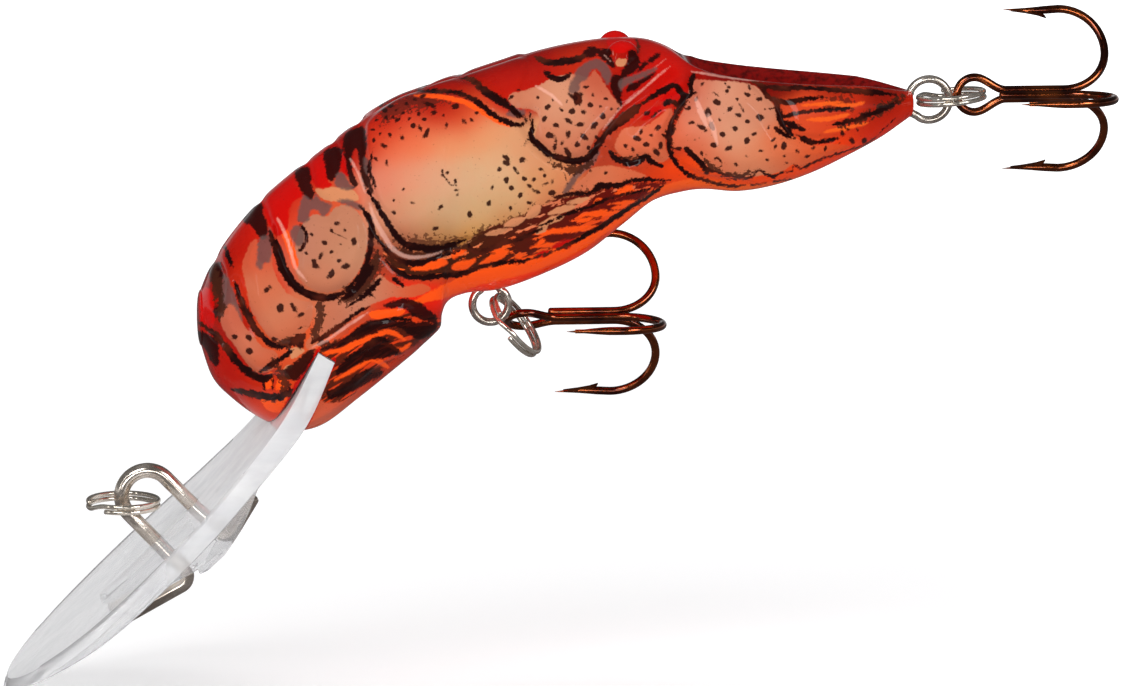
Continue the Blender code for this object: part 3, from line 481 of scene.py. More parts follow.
INK = strokes("""4,6.5,5,4: 238,282 244,300 251,315 258,328 266,337 275,345 290,347;
5.5,8,7.5,7,5: 272,232 280,250 288,272 300,288 318,297 335,298 352,290;
3,5,5,5,4: 362,207 372,220 374,240 371,258 364,275 350,290; 2.5: 302,224 309,234 309,244 303,252;
2,4.5,5,4.5,3.5: 415,92 430,93 450,94 462,96 475,102 485,110 495,118 505,124 520,128 528,122;
3,6,8,5,4: 460,80 472,82 482,90 490,97 500,103 510,110 520,118 528,122;
2.5,4.5,5.5,7,4.5: 365,185 375,200 380,208 388,222 397,235 408,246 418,249 440,250 455,246
468,240;
3,5,5,4: 370,222 380,240 390,252 400,261 412,264 425,263 440,258 462,252;
1.5,3.5,3: 376,150 372,170 378,190;
3,5,5,4,4,4: 385,258 394,268 404,275 416,279 440,277 465,274 476,269 505,263 522,262 545,255;
3,5,4,3: 468,244 480,254 500,246 520,240 545,228;
3,4,4,3: 545,256 575,242 600,228 625,212 650,196 662,187;
2,3,3,2: 540,228 565,216 590,208 615,198 652,190;
4,4,5,4,3: 555,200 575,195 590,195 600,188 620,187 632,182 670,182;
6: 535,58 545,64 560,65 575,62 585,58; 4.5: 546,74 552,80 562,82 570,77;
3: 560,62 570,62 580,60;
3.5,5,5.5,6.5,5.5,5: 530,115 533,127 532,140 540,148 550,157 565,162 580,163 590,158 598,148
604,138 612,128 620,120 632,110;
4: 529,140 524,149; 2,3,2: 636,41 638,48 637,56; 6: 576,98 578,103 576,106;
5: 640,108 655,97 665,92 673,88 680,95 687,98 694,95;
4.5: 662,108 670,104 678,108 683,100 690,98; 5: 690,98 690,86 693,77;
6,9,7: 604,138 616,127 628,117 640,108;
4,5.5,5,4: 607,150 612,158 622,164 635,165 645,158 650,163 662,168; 3: 650,120 660,113;
4,5,4,4,3,2: 680,100 677,112 672,122 668,135 668,150 672,160 680,170 690,177 705,182 720,185
735,187 745,186;
3: 668,140 661,137; 5: 683,150 690,156 697,162 704,170 706,175;
1.2,2,1.8,1.0,1.8,1.2,1.0: 705,170 716,174 735,179 750,178 757,172 770,178 780,174 790,172
792,166 800,170 815,162 830,157 850,150 865,145 880,132 893,120;
2.5: 750,186 765,184; 2.5: 772,183 790,180;
3.5,5,4.5,6,5: 750,83 760,90 765,98 773,103 776,112 778,122 785,132 793,140;
3: 763,112 774,110; 4,5,3: 773,102 785,105 800,102 820,99;
3,4,3,3: 778,120 790,117 805,114 835,111 850,110; 4,6,3: 780,124 790,128 803,132;
4: 772,129 780,135 790,140; 4,5,4,3: 797,138 805,143 815,144 836,140;
2,4,5,3: 825,127 845,124 862,118 880,111 903,100;
3,5,4,5,6,4: 752,86 775,91 800,90 830,92 862,93 895,96;
4,4,3: 310,345 325,338 340,328 350,320 362,312 372,307;
3,4,4,3: 338,348 356,338 372,327 390,320 412,320; 4,5,4: 345,362 362,352 378,340 392,341;
4,5,4: 332,392 350,384 368,372 382,370;
4,5.5,6.5,7,5: 200,322 212,330 222,338 232,351 244,366 256,375 268,378 279,373;
3,6,7,6,4: 234,389 245,391 256,394 270,396 284,396 291,392 292,387;
3.5: 266,377 267,389; 3.5: 276,375 275,391; 7: 295,344 301,338 307,337;
3,5,4: 262,372 272,366 282,360 296,350; 4,6,6,4: 345,300 356,292 366,280 376,266;
2,4,4,2: 352,306 364,298 376,288 386,276; 3: 395,279 400,283 406,287; 3: 368,292 378,298;
2,4,2: 236,268 230,255 226,246""")
INK = [(points, tuple(width * 1.10 for width in widths)) for points, widths in INK]
DAB_STROKES = strokes("""2.5: 335,234 350,240; 2.4: 446,179 454,188; 3: 737,106 742,115;
2.5: 712,162 716,160 720,165 718,169; 3: 300,330 308,326""")

# Oval dabs: u, v, width, then height where it differs
DABS = path("""
238,337,5,4 252,338,5,4 253,351,5,4 271,290,5,4 284,308,6,4 297,308,5,4 278,339,4,3 305,315,6,3
340,225,6,3 335,232,6,5 348,232,5,4 315,236,4.5 344,246,5,4 335,253,5,4 324,257,5 317,262,5,4
319,267,4 349,267,5 334,275,5,4 357,243,3.5 328,244,3.5 342,262,3 310,255,3
395,120,4 398,112,3 405,115,4 412,113,4,3 375,132,4 382,136,4,3 376,142,4
392,138,3.5 415,128,4 422,131,4,3 431,107,3,6 457,109,4 428,136,4.5 465,124,4
473,123,4,3 478,116,3.5 388,128,3 445,118,3 406,192,5,4 396,202,4.5 396,214,4.5
414,205,3.5 442,209,3.5 471,216,4 507,161,4 507,165,4 523,162,4 507,182,4
525,181,4 521,197,4 511,210,4.5 541,172,4.5 556,170,3,6 553,183,4.5
565,178,3,8 538,194,6,4 552,195,5.5 444,177,2.6 449,175,2.2 444,173,2 457,184,2
386,112,4 392,108,3 400,122,4 388,120,3.5 408,106,4 416,102,3 402,131,3
382,128,4 378,122,3 411,121,3.5 420,116,3 426,122,3 436,115,3.5 448,128,3
404,140,3 386,148,3.5 424,98,3 512,190,4.5 530,188,4 545,178,4 519,176,4
458,188,4 458,192,4 459,197,3.5 389,165,3 378,161,3 437,230,3 490,205,3
534,182,3 500,172,3 493,190,3 516,172,3 530,205,3.5 545,186,3
575,101,6,7 592,98,4 605,102,4 600,110,4 611,112,4 618,112,3 583,115,4.5
602,119,4 568,124,4 580,127,4 594,128,4.5 568,137,4 584,140,4.5 550,138,5
577,147,5 588,150,4 538,101,4 531,107,3 561,113,4.5 519,93,4 512,100,4
555,148,4,7 568,155,6,4 556,128,3.5 572,114,3.5 590,108,3 548,110,3.5
545,122,3.5 562,146,3.5 596,140,3 586,90,4 567,104,3.5 553,103,3
590,173,4 605,175,4 625,148,4 645,147,4.5 657,130,4 660,148,4 655,154,4
636,141,4 646,116,4 640,134,3 632,152,3 650,138,3
701,87,4 724,86,4 727,90,4 725,94,4 747,90,4 745,97,4 757,102,4,5
715,105,7,3 706,115,5 700,130,3.5,5.5 758,120,4.5 721,137,4 678,151,4
687,111,4 700,155,4.5 734,166,5 759,153,4 771,142,4.5 773,148,4 795,153,4.5
746,124,4 733,131,4 712,147,4 727,150,3.5 745,143,3.5 710,128,3.5 737,118,3.5
752,136,3 766,130,3 718,122,3 694,142,3 745,158,4 765,162,3.5 782,158,3.5
695,102,3.5 735,102,3 714,97,3 691,125,3 728,112,3 782,148,4
850,142,4 863,142,4 840,135,5,3 846,131,4,3 811,150,4 823,150,4 855,131,4
785,165,3 805,158,3.5 838,145,3""")

# Airbrushed colours at places: u, v, red, green, blue as sRGB bytes
GROUND = path("""
200,300,150,16,8 212,330,170,22,10 225,360,185,22,10 240,385,190,24,12
270,403,245,66,22 300,400,240,80,30 222,270,150,14,6 238,250,190,20,8
255,225,200,22,8 250,280,215,50,22 275,205,190,18,8 300,180,205,18,8
325,160,190,10,5 350,140,170,9,4 380,118,176,10,5 420,90,168,10,5
465,68,158,9,4 520,48,140,7,4 570,42,146,7,4 620,42,172,9,5
660,55,205,20,8 690,75,170,18,8 285,240,225,60,30 310,215,215,70,45
370,150,190,24,10 392,122,186,12,6 385,140,232,70,34 410,124,206,28,12
445,122,216,50,24 412,136,240,112,74 455,104,160,10,5 430,108,160,8,4 470,118,230,90,50
510,95,198,28,12 545,78,190,28,14 500,75,168,12,6 540,60,160,10,5
395,155,236,128,92 420,145,238,140,100 450,145,236,160,116 485,140,232,166,122
385,180,226,140,118 410,180,230,164,136 440,180,226,176,146 470,180,222,186,150
500,170,226,188,150 520,150,224,168,128 540,160,222,160,120 395,215,216,150,122
420,215,220,174,140 450,215,210,178,142 480,215,214,182,140 510,200,218,182,140
540,190,222,168,120 560,180,224,150,106 410,238,176,110,80 440,238,176,128,76
478,240,206,150,70 510,225,200,140,84 400,262,150,66,44 430,268,158,80,46
460,262,170,92,46 500,252,190,90,40 540,240,196,74,30 580,222,206,64,22
620,204,214,58,18 650,190,222,62,20 400,296,272,40,14 432,300,276,34,8
470,288,276,56,12 520,274,274,58,10 570,254,270,66,12 620,222,264,72,14
665,190,258,78,20 720,190,252,84,24 780,182,250,78,22 840,165,245,66,18
890,135,225,46,14 905,115,200,36,12 880,105,150,24,12 850,108,210,54,26
820,112,224,74,38 800,122,226,84,46 880,88,120,26,14 830,85,130,22,12
780,78,116,10,6 730,76,122,10,6 700,74,132,12,7 350,300,214,120,84
335,310,216,124,90 375,290,224,80,46 385,275,176,66,44 320,345,236,96,50
360,330,196,60,30 395,320,170,44,22 430,320,150,34,18 350,370,206,60,28
390,355,196,56,24 340,395,226,92,60 325,415,236,120,92 580,60,150,12,6
600,90,160,22,12 640,85,176,14,7 650,110,200,34,18 630,165,196,70,40 665,75,228,12,6
655,98,214,12,6 678,66,214,12,6 645,62,180,18,8 577,63,222,58,20 590,60,214,40,14
600,165,186,66,42 660,130,210,70,40 555,205,200,110,70 590,195,204,90,50
300,250,216,110,84 335,205,222,96,60 265,385,190,40,20 290,350,226,90,50""")
PANEL_COLOURS = path("""
235,320,214,120,96 255,345,222,140,112 270,362,220,116,82 262,255,222,104,74
270,290,224,134,100 290,315,222,150,118 300,330,224,128,92 310,240,206,150,128
335,235,208,152,124 350,255,214,164,134 335,280,214,148,118 330,310,216,138,108
360,300,216,156,130 385,290,222,146,116 412,290,236,112,72 345,318,212,142,116
530,100,222,150,120 555,100,232,180,150 575,120,228,172,142 560,145,222,150,118
600,110,226,140,112 590,145,218,134,104 600,85,210,110,84 640,140,238,138,104
660,125,240,120,84 640,158,236,126,88 600,178,232,142,104 630,176,238,130,90
690,100,220,130,108 700,125,240,164,138 720,110,232,178,152 730,140,236,184,154
750,110,226,162,134 690,150,240,128,92 750,160,238,160,122 780,150,240,138,96
810,152,240,112,66 840,148,238,92,46 715,165,240,142,104""")
COLOUR_SPREAD = 13.0

# Each mesh attribute's patches and strokes
BRUSHWORK = {
    "d_panel": (PANELS, ()), "d_orange": (ORANGES, ORANGE_STROKES), "d_pale": (PALE_MARKS_AND_EYE_HIGHLIGHT, ()),
    "d_red": (REDS, ()), "d_wedge": (DARK_WEDGES_AND_EYE_SHADE, ()), "d_grey": (PAINTED_INK_REFLECTIONS, ()), "d_glow": ((), PAINTED_HIGHLIGHTS),
    "d_brown": ((), BROWN), "d_ink": ((), INK), "d_dab": ((), DAB_STROKES),
    "d_stipple": (STIPPLED, ()), "d_band": ([BAND_ZONE], ()), "d_fan": ([FAN_ZONE], ()),
}

# Raised areas: outline, rise in mm, and the inward distances the rise runs between
CARAPACE = path("""372,175 368,140 372,118 420,80 480,55 528,60 524,90 520,118 530,140 552,162
575,172 566,196 530,222 490,238 440,244 408,240 390,218 378,200""")
FAN = path("""312,352 345,330 372,312 405,304 436,312 442,328 414,348 372,376 345,405 305,428
300,420 322,392""")
RAISED = [
    (NOSE_PLATE, 0.34, -3, 12), (FRONT_PLATE, 0.36, -3, 14), (OVAL, 0.40, -3, 12),
    (CHEEK, 0.26, -3, 16), (ARM, 0.30, -3, 14), (CLAW, 0.42, -3, 22),
    (CARAPACE, 0.32, -2, 7), (FAN, 0.40, -3, 9)]
# Grooves and ridges: height in mm (grooves negative), width in the grid, and the line
LINES = strokes("""-0.30,5.5: 238,282 244,300 258,328 275,345 290,347;
-0.36,6.5: 272,232 280,250 288,272 300,288 318,297 335,298 352,290;
-0.30,6: 222,300 224,280 217,262 212,252; -0.34,6: 272,232 270,222 262,203 254,192;
-0.30,5.5: 326,203 318,197 312,180 308,166 300,150;
-0.32,5.5: 352,187 345,172 337,150 330,136;
-0.32,5.5: 376,205 368,180 362,150 360,128 356,112;
-0.30,5: 372,210 385,236 408,250 440,252 468,242;
-0.22,4.5: 415,92 450,94 475,102 495,118 520,128 528,122;
-0.22,4.5: 460,80 482,90 500,103 528,122;
-0.34,6.5: 530,115 532,140 550,157 580,163 598,148 620,120 640,104 672,80;
-0.24,5: 607,150 622,164 645,160 668,168;
-0.34,6: 692,77 690,98 677,112 668,135 668,150 680,170 705,182 745,187;
-0.26,5: 750,83 765,98 776,112 785,132 797,140 836,141;
-0.28,6: 200,322 224,339 240,358 258,375 285,378; -0.14,4: 325,345 360,325 400,316 436,320;
-0.14,4: 335,368 368,350 392,341 415,340; -0.14,4: 328,396 352,386 378,366 395,356;
-0.12,4: 385,258 404,275 440,277 505,263 545,253 600,228 650,198;
0.10,3.5: 372,205 385,230 400,246 430,250; 0.22,7: 566,200 576,185 598,158;
0.22,7: 612,140 640,116 664,96 684,86; 0.10,4: 340,338 372,324 405,324;
0.10,4: 345,358 380,338""")


# ---------------------------------------------------------- measuring the brushwork
def elevation(points):
    """Grid (u, v) of points in mm, both sides folded onto the near one."""
    folded = points.copy()
    folded[:, 1] = -np.abs(folded[:, 1])
    return np.stack([folded @ RIGHT / GRID_STEP + GRID_ORIGIN[0],
                     GRID_ORIGIN[1] - folded @ UP / GRID_STEP], 1)


def near_box(spots, points, margin):
    points = np.asarray(points, float)
    low, high = points.min(0) - margin, points.max(0) + margin
    return np.nonzero(((spots > low) & (spots < high)).all(1))[0]


def to_segment(spots, start, step):
    """Share along the segment nearest each spot, and the distance to it."""
    share = np.clip(((spots - start) @ step) / max(step @ step, 1e-9), 0, 1)
    return share, np.hypot(*(spots - start - share[:, None] * step).T)


def stroke(spots, field, points, widths, margin=14.0, taper=True):
    """field becomes the smaller of itself and the distance to a brush stroke's edge."""
    points = np.array(spline(points, 4) if len(points) > 2 else points)
    index = near_box(spots, points, margin + max(widths))
    near = spots[index]
    best = np.full(len(near), 1e6)
    t = np.linspace(0, 1, len(points))
    half = np.interp(t, np.linspace(0, 1, len(widths)), widths) / 2
    if taper:
        half = half * (0.35 + 0.65 * np.clip(np.minimum(t, 1 - t) * 7, 0, 1))
    for i in range(len(points) - 1):
        share, distance = to_segment(near, points[i], points[i + 1] - points[i])
        best = np.minimum(best, distance - (half[i] + (half[i + 1] - half[i]) * share))
    field[index] = np.minimum(field[index], best)


def patch(spots, field, points, margin=14.0):
    """The same for a closed shape; distances inside it are negative."""
    points = np.array(closed_spline(points, 4))
    index = near_box(spots, points, margin)
    near = spots[index]
    best = np.full(len(near), 1e6)
    inside = np.zeros(len(near), bool)
    for start, end in zip(points, np.roll(points, -1, axis=0)):
        best = np.minimum(best, to_segment(near, start, end - start)[1])
        level = (start[1] > near[:, 1]) != (end[1] > near[:, 1])
        if abs(end[1] - start[1]) > 1e-9:
            inside ^= level & (near[:, 0] < start[0] + (near[:, 1] - start[1])
                               * (end[0] - start[0]) / (end[1] - start[1]))
    field[index] = np.minimum(field[index], np.where(inside, -best, best))


def dab(spots, field, u, v, width, height, turn):
    """The same for an oval turned by some degrees."""
    index = near_box(spots, [(u - width, v - height), (u + width, v + height)],
                     8 + max(width, height))
    near = spots[index] - (u, v)
    cos, sin = math.cos(math.radians(turn)), math.sin(math.radians(turn))
    x = (near[:, 0] * cos + near[:, 1] * sin) / (width / 2)
    y = (-near[:, 0] * sin + near[:, 1] * cos) / (height / 2)
    field[index] = np.minimum(field[index], (np.hypot(x, y) - 1) * min(width, height) / 2)


def field_colour(spots, table):
    """Colour smoothly blended between the table's places, in linear light."""
    table = np.array(table, float)
    rgb = table[:, 2:] / 255.0
    rgb = np.where(rgb <= 0.04045, rgb / 12.92, ((rgb + 0.055) / 1.055) ** 2.4)
    out = np.zeros((len(spots), 3))
    for i in range(0, len(spots), 20000):
        near = spots[i:i + 20000]
        square = ((near[:, None, :] - table[None, :, :2]) ** 2).sum(2)
        weight = np.exp(-square / (2 * COLOUR_SPREAD ** 2)) + 1e-4 / (1 + square) ** 2
        out[i:i + 20000] = (weight @ rgb) / weight.sum(1)[:, None]
    return out


def flow(spots, points):
    """Distance along a curve, and signed distance across it."""
    points = np.array(spline(points, 6), float)
    best = np.full(len(spots), 1e9)
    along, across = np.zeros(len(spots)), np.zeros(len(spots))
    run = 0.0
    for start, end in zip(points, points[1:]):
        step = end - start
        length = float(np.hypot(*step))
        share = np.clip(((spots - start) @ step) / (length * length), 0, 1)
        distance = np.hypot(*(spots - start - share[:, None] * step).T)
        near = distance < best
        best = np.where(near, distance, best)
        sign = np.sign(step[0] * (spots[:, 1] - start[1]) - step[1] * (spots[:, 0] - start[0]))
        along = np.where(near, run + share * length, along)
        across = np.where(near, sign * distance, across)
        run += length
    return along, across


def relief(spots):
    """Height of the moulded detail, mm outwards."""
    height = np.zeros(len(spots))
    for outline, rise, start, end in RAISED:
        field = np.full(len(spots), 60.0)
        patch(spots, field, outline, margin=30)
        height += rise * smoothstep(-field, start, end)
    for points, (rise, width) in LINES:
        field = np.full(len(spots), 60.0)
        stroke(spots, field, points, (0.0,), margin=24, taper=False)
        height += rise * np.exp(-(field / width) ** 2)
    return height


# ------------------------------------------------------------------ shell meshes
def half_section(row, count, inset=0.0):
    """count points from keel to back round the +Y half of one cross section."""
    x, top, bottom, half, valley = row
    top, bottom, half = top - inset, bottom + inset, half - inset
    mid, high = (top + bottom) / 2, (top - bottom) / 2
    angle = np.linspace(-math.pi / 2, math.pi / 2, 361)
    cos, sin = np.cos(angle), np.sin(angle)
    claws = min(1.0, max(0.0, valley) / 1.6)
    power = np.where(sin > 0, 2.2 + 1.3 * claws, 2.2)
    high = np.where(sin > 0, high + 0.45 * claws, high)
    y = half * np.abs(cos) ** (2 / power)
    z = mid + high * np.sign(sin) * np.abs(sin) ** (2 / power)
    y[0] = y[-1] = 0.0
    wide = (0.40 + 0.16 * claws) * half
    dip = (valley + 0.6 * claws) * np.exp(-(y / max(wide, 1e-3)) ** (2 + claws))
    z = z - np.where(sin > 0, dip * np.minimum(1.0, sin * 1.6), 0)
    length = run_lengths(np.hypot(np.diff(y), np.diff(z)))
    t = np.linspace(0, length[-1], count)
    return np.stack([np.full(count, x), np.interp(t, length, y), np.interp(t, length, z)], 1)


def outer_rows():
    """The stations made dense and even, with rounded nose and tail."""
    dense = np.array(spline(STATIONS, 30))
    step = np.sqrt(np.diff(dense[:, 0]) ** 2 + (0.5 * np.diff(dense[:, 1])) ** 2
                   + (0.5 * np.diff(dense[:, 2])) ** 2)
    length = run_lengths(step)
    t = np.linspace(0, length[-1], BODY_ROWS)
    rows = np.stack([np.interp(t, length, dense[:, k]) for k in range(5)], 1)

    def cap(row, depth, to_z):
        out = []
        for k in range(1, 14):
            angle = math.pi / 2 * k / 14
            size = math.cos(angle) ** 0.8
            mid = (row[1] + row[2]) / 2
            mid = mid + (to_z - mid) * (1 - size)
            high = (row[1] - row[2]) / 2 * size
            out.append((row[0] + depth * math.sin(angle), mid + high, mid - high,
                        row[3] * size, 0.0))
        return out
    nose = cap(rows[0], -0.30, NOSE_Z)
    tail = cap(rows[-1], 0.25, TAIL_Z)
    return np.array(nose[::-1] + [tuple(row) for row in rows] + tail)


ROWS = outer_rows()
SECTIONS = np.stack([half_section(row, AROUND_BODY) for row in ROWS])
# y of each section's crest, where there is a valley
RIDGE = np.array([section[np.argmax(section[:, 2]), 1] if row[4] > 0.05 else -1.0
                  for section, row in zip(SECTIONS, ROWS)])


def eye_lift(grid, normal):
    """How far each point moves out to lie on the eye's dome."""
    to_eye = EYE_CENTRE - grid
    reach = (to_eye * normal).sum(2)
    square = (to_eye * to_eye).sum(2)
    inside = reach * reach - square + EYE_RADIUS * EYE_RADIUS
    aside = np.sqrt(np.maximum(square - reach * reach, 0))
    lift = np.where(inside > 0, reach + np.sqrt(np.maximum(inside, 0)),
                    reach - (aside - EYE_RADIUS) * 2)
    lift = np.where((np.abs(reach) < 3) & (aside < 3), lift, -1)
    lift = 0.5 * (lift + np.sqrt(lift * lift + 0.012))
    return np.where(aside < 2.4, np.maximum(lift - 0.004, 0), 0) * (1 - smoothstep(aside, 1.8, 2.4))


def shaped_grid():
    """The sections with relief and eye domes."""
    grid = SECTIONS.copy()
    normal = np.cross(np.gradient(grid, axis=1), np.gradient(grid, axis=0))
    normal /= np.maximum(np.linalg.norm(normal, axis=2, keepdims=True), 1e-9)
    if ((grid - grid.mean(axis=1, keepdims=True)) * normal).sum(axis=2).mean() < 0:
        normal = -normal
    # Relief fades towards the nose, the tail and the mid plane.
    spots = elevation((grid * (1, -1, 1)).reshape(-1, 3))
    height = relief(spots).reshape(grid.shape[:2])
    index = np.arange(len(grid))
    ends = smoothstep(index, 6, 26) * (1 - smoothstep(index, len(grid) - 24, len(grid) - 8))
    fade = np.minimum(1.0, 0.18 + grid[:, :, 1] / 3.6)
    # The claws' crests are smooth.
    claws = smoothstep(spots[:, 0].reshape(grid.shape[:2]), 668, 700)
    fade = fade * (1 - claws * (1 - smoothstep(normal[:, :, 1], 0.05, 0.62)))
    grid = grid + normal * (height * ends[:, None] * fade)[:, :, None]
    grid = grid + normal * eye_lift(grid, normal)[:, :, None]
    grid[:, 0, 1] = grid[:, -1, 1] = 0.0
    grid[:, :, 1] = np.maximum(grid[:, :, 1], 0.0)
    return grid


SHAPED = shaped_grid()


def shell_mesh(name, side):
    """One closed half shell: painted outside, bare inside wall and parting face."""
    outer = SHAPED.copy()
    first, last = (int(np.searchsorted(ROWS[:, 0], x)) for x in CAVITY_ENDS)
    inner = np.stack([half_section(ROWS[i], AROUND_CAVITY, CAVITY_INSET)
                      for i in range(first, last + 1)])
    for grid in (outer, inner):
        grid[:, :, 1] = np.maximum(grid[:, :, 1], PARTING_GAP)
    ends = np.array([(NOSE_X, 0, NOSE_Z), (TAIL_X, 0, TAIL_Z),
                     tuple(inner[0].mean(0)), tuple(inner[-1].mean(0))])
    ends[:, 1] = PARTING_GAP
    verts = np.concatenate([outer.reshape(-1, 3), inner.reshape(-1, 3), ends])
    skin = np.arange(outer[:, :, 0].size).reshape(outer.shape[:2])
    wall = skin.size + np.arange(inner[:, :, 0].size).reshape(inner.shape[:2])
    nose = skin.size + wall.size
    tail, front, rear = nose + 1, nose + 2, nose + 3

    painted = np.stack([skin[:-1, :-1], skin[:-1, 1:], skin[1:, 1:], skin[1:, :-1]], 2)
    bare = np.stack([wall[:-1, :-1], wall[1:, :-1], wall[1:, 1:], wall[:-1, 1:]], 2)
    painted, bare = painted.reshape(-1, 4).tolist(), bare.reshape(-1, 4).tolist()
    skin, wall = skin.tolist(), wall.tolist()
    for faces, grid, start, end in ((painted, skin, nose, tail), (bare, wall, rear, front)):
        # The cavity's fans face the other way, from its other ends.
        low, high = (grid[0], grid[-1]) if faces is painted else (grid[-1], grid[0])
        fan_low = [(start, low[j + 1], low[j]) for j in range(len(low) - 1)]
        fan_high = [(end, high[j], high[j + 1]) for j in range(len(high) - 1)]
        faces += fan_low + fan_high if faces is painted else fan_high + fan_low

    flat = [(nose, skin[0][0], skin[0][-1])]
    for i in range(len(skin) - 1):
        here, after = skin[i], skin[i + 1]
        rim = (here[0], after[0])
        if first <= i < last:
            near, far = wall[i - first], wall[i - first + 1]
            flat.append((*rim, far[0], near[0]))
            flat.append((near[-1], far[-1], after[-1], here[-1]))
        elif i == first - 1:
            flat.append((*rim, wall[0][0], front, wall[0][-1], after[-1], here[-1]))
        elif i == last:
            flat.append((*rim, after[-1], here[-1], wall[-1][-1], rear, wall[-1][0]))
        else:
            flat.append((*rim, after[-1], here[-1]))
    flat.append((tail, skin[-1][-1], skin[-1][0]))
    faces = painted + bare + flat
    if side < 0:
        verts[:, 1] *= -1
        faces = [tuple(reversed(face)) for face in faces]
    mesh = mesh_from(name, verts, faces)
    slots = np.zeros(len(faces), np.int32)
    slots[len(painted):] = 1
    mesh.polygons.foreach_set("material_index", slots)
    return mesh


def openings():
    """The lip's slot and the two hangers' slots, as one cutting solid."""
    tools = [prism(grown(LIP_TOP + LIP_BOTTOM, 0.06), 11.5)]
    for eye, anchor, radius in ((BELLY_EYE, BELLY_ANCHOR, BELLY_EYE_RADIUS),
                                (TAIL_EYE, TAIL_ANCHOR, TAIL_EYE_RADIUS)):
        eye, anchor = in_plane(eye), in_plane(anchor)
        along = (anchor - eye).normalized()
        across = Vector((-along.z, 0, along.x)) * 0.86
        start = eye + along * (radius - 0.6)
        end = eye + along * ((anchor - eye).length - 1.2)
        corners = (start - across, end - across, end + across, start + across)
        tools.append(prism([(corner.x, corner.z) for corner in corners], 0.42))
    return join(tools)


def paint(mesh):
    """Distances to the edge of each kind of brushwork, kept on the mesh for its material."""
    count = len(mesh.vertices)
    places = np.zeros(count * 3)
    mesh.vertices.foreach_get("co", places)
    places = places.reshape(-1, 3) / MM
    spots = elevation(places)
    fields = {}
    for key, (outlines, lines) in BRUSHWORK.items():
        fields[key] = np.full(count, 16.0)
        for points in outlines:
            patch(spots, fields[key], points)
        for points, widths in lines:
            stroke(spots, fields[key], points, widths)
    for i, (u, v, *sizes) in enumerate(DABS):
        # Uneven size, length and turn from dab to dab
        big = 1.0 + 0.42 * math.sin(i * 12.9898)
        long = 1.0 + 0.28 * math.sin(i * 78.233)
        dab(spots, fields["d_dab"], u, v, width=1.1 * sizes[0] * big * long,
            height=1.1 * sizes[-1] * big / long, turn=(i * 47) % 180)
    for key, points in (("band", BAND_LINE), ("fan", FAN_LINE)):
        fields[key + "_s"], fields[key + "_t"] = flow(spots, points)
    # The claws' inner faces, which look at each other across the valley
    x, y, z = places.T
    middle = np.interp(x, ROWS[:, 0], (ROWS[:, 1] + ROWS[:, 2]) / 2)
    fields["d_inner"] = np.maximum(np.abs(y) - np.interp(x, ROWS[:, 0], RIDGE),
                                   middle - z) / GRID_STEP
    for key, values in fields.items():
        attribute = mesh.attributes.new(key, "FLOAT", "POINT")
        attribute.data.foreach_set("value", values.astype(np.float32))
    for key, table, tint in (("ground", GROUND, (0.84, 0.72, 0.62)),
                             ("panel", PANEL_COLOURS, (0.76, 0.57, 0.48))):
        attribute = mesh.attributes.new(key, "FLOAT_COLOR", "POINT")
        rgba = np.ones((count, 4), np.float32)
        rgba[:, :3] = field_colour(spots, table) * tint
        attribute.data.foreach_set("color", rgba.ravel())
    return mesh


# --------------------------------------------------------------------- materials
MIX_FACTOR, MIX_A, MIX_B, MIX_RESULT = 0, 6, 7, 2     # the Mix node's colour sockets


class Nodes:
    """Short names for building a node tree; values may be numbers, colours or sockets."""

    def __init__(self, owner):
        owner.use_nodes = True
        self.owner, self.tree = owner, owner.node_tree
        self.bsdf = self.tree.nodes.get("Principled BSDF")
        if not self.bsdf:
            self.tree.nodes.clear()
        self.coord = self.new("ShaderNodeTexCoord").outputs

    def put(self, socket, value):
        if hasattr(value, "links"):
            self.tree.links.new(value, socket)
        elif socket.type == "RGBA":
            socket.default_value = (*value, 1.0)
        else:
            socket.default_value = value

    def new(self, kind, inputs=None, **props):
        node = self.tree.nodes.new(kind)
        for key, value in props.items():
            setattr(node, key, value)
        for key, value in (inputs or {}).items():
            self.put(node.inputs[key], value)
        return node

    def surface(self, **values):
        """Settings of the Principled node; underscores stand for blanks in its names."""
        for key, value in values.items():
            self.put(self.bsdf.inputs[key.replace("_", " ")], value)

    def noise(self, scale, detail=3.0, rough=0.55, vector=None):
        return self.new("ShaderNodeTexNoise", {
            "Scale": scale, "Detail": detail, "Roughness": rough,
            "Vector": vector or self.coord["Object"]}).outputs["Fac"]

    def place(self, axis):
        return self.new("ShaderNodeSeparateXYZ", {0: self.coord["Object"]}).outputs[axis]

    def attr(self, name, output="Fac"):
        return self.new("ShaderNodeAttribute", attribute_type="GEOMETRY",
                        attribute_name=name).outputs[output]

    def math(self, operation, first, second, clamp=False):
        return self.new("ShaderNodeMath", {0: first, 1: second}, operation=operation,
                        use_clamp=clamp).outputs[0]

    def plus(self, first, second):
        return self.math("ADD", first, second)

    def times(self, first, second):
        return self.math("MULTIPLY", first, second)

    def ramp(self, value, low, high, to_low=0.0, to_high=1.0):
        return self.new("ShaderNodeMapRange", {
            "Value": value, "From Min": low, "From Max": high, "To Min": to_low,
            "To Max": to_high}, interpolation_type="SMOOTHSTEP").outputs["Result"]

    def blend(self, factor, first, second):
        return self.new("ShaderNodeMix", {MIX_FACTOR: factor, MIX_A: first, MIX_B: second},
                        data_type="RGBA").outputs[MIX_RESULT]

    def bump(self, height, strength, distance):
        self.surface(Normal=self.new("ShaderNodeBump", {
            "Strength": strength, "Distance": distance, "Height": height}).outputs["Normal"])


def srgb(*rgb):
    return tuple((c / 255 / 12.92) if c <= 10 else ((c / 255 + 0.055) / 1.055) ** 2.4 for c in rgb)


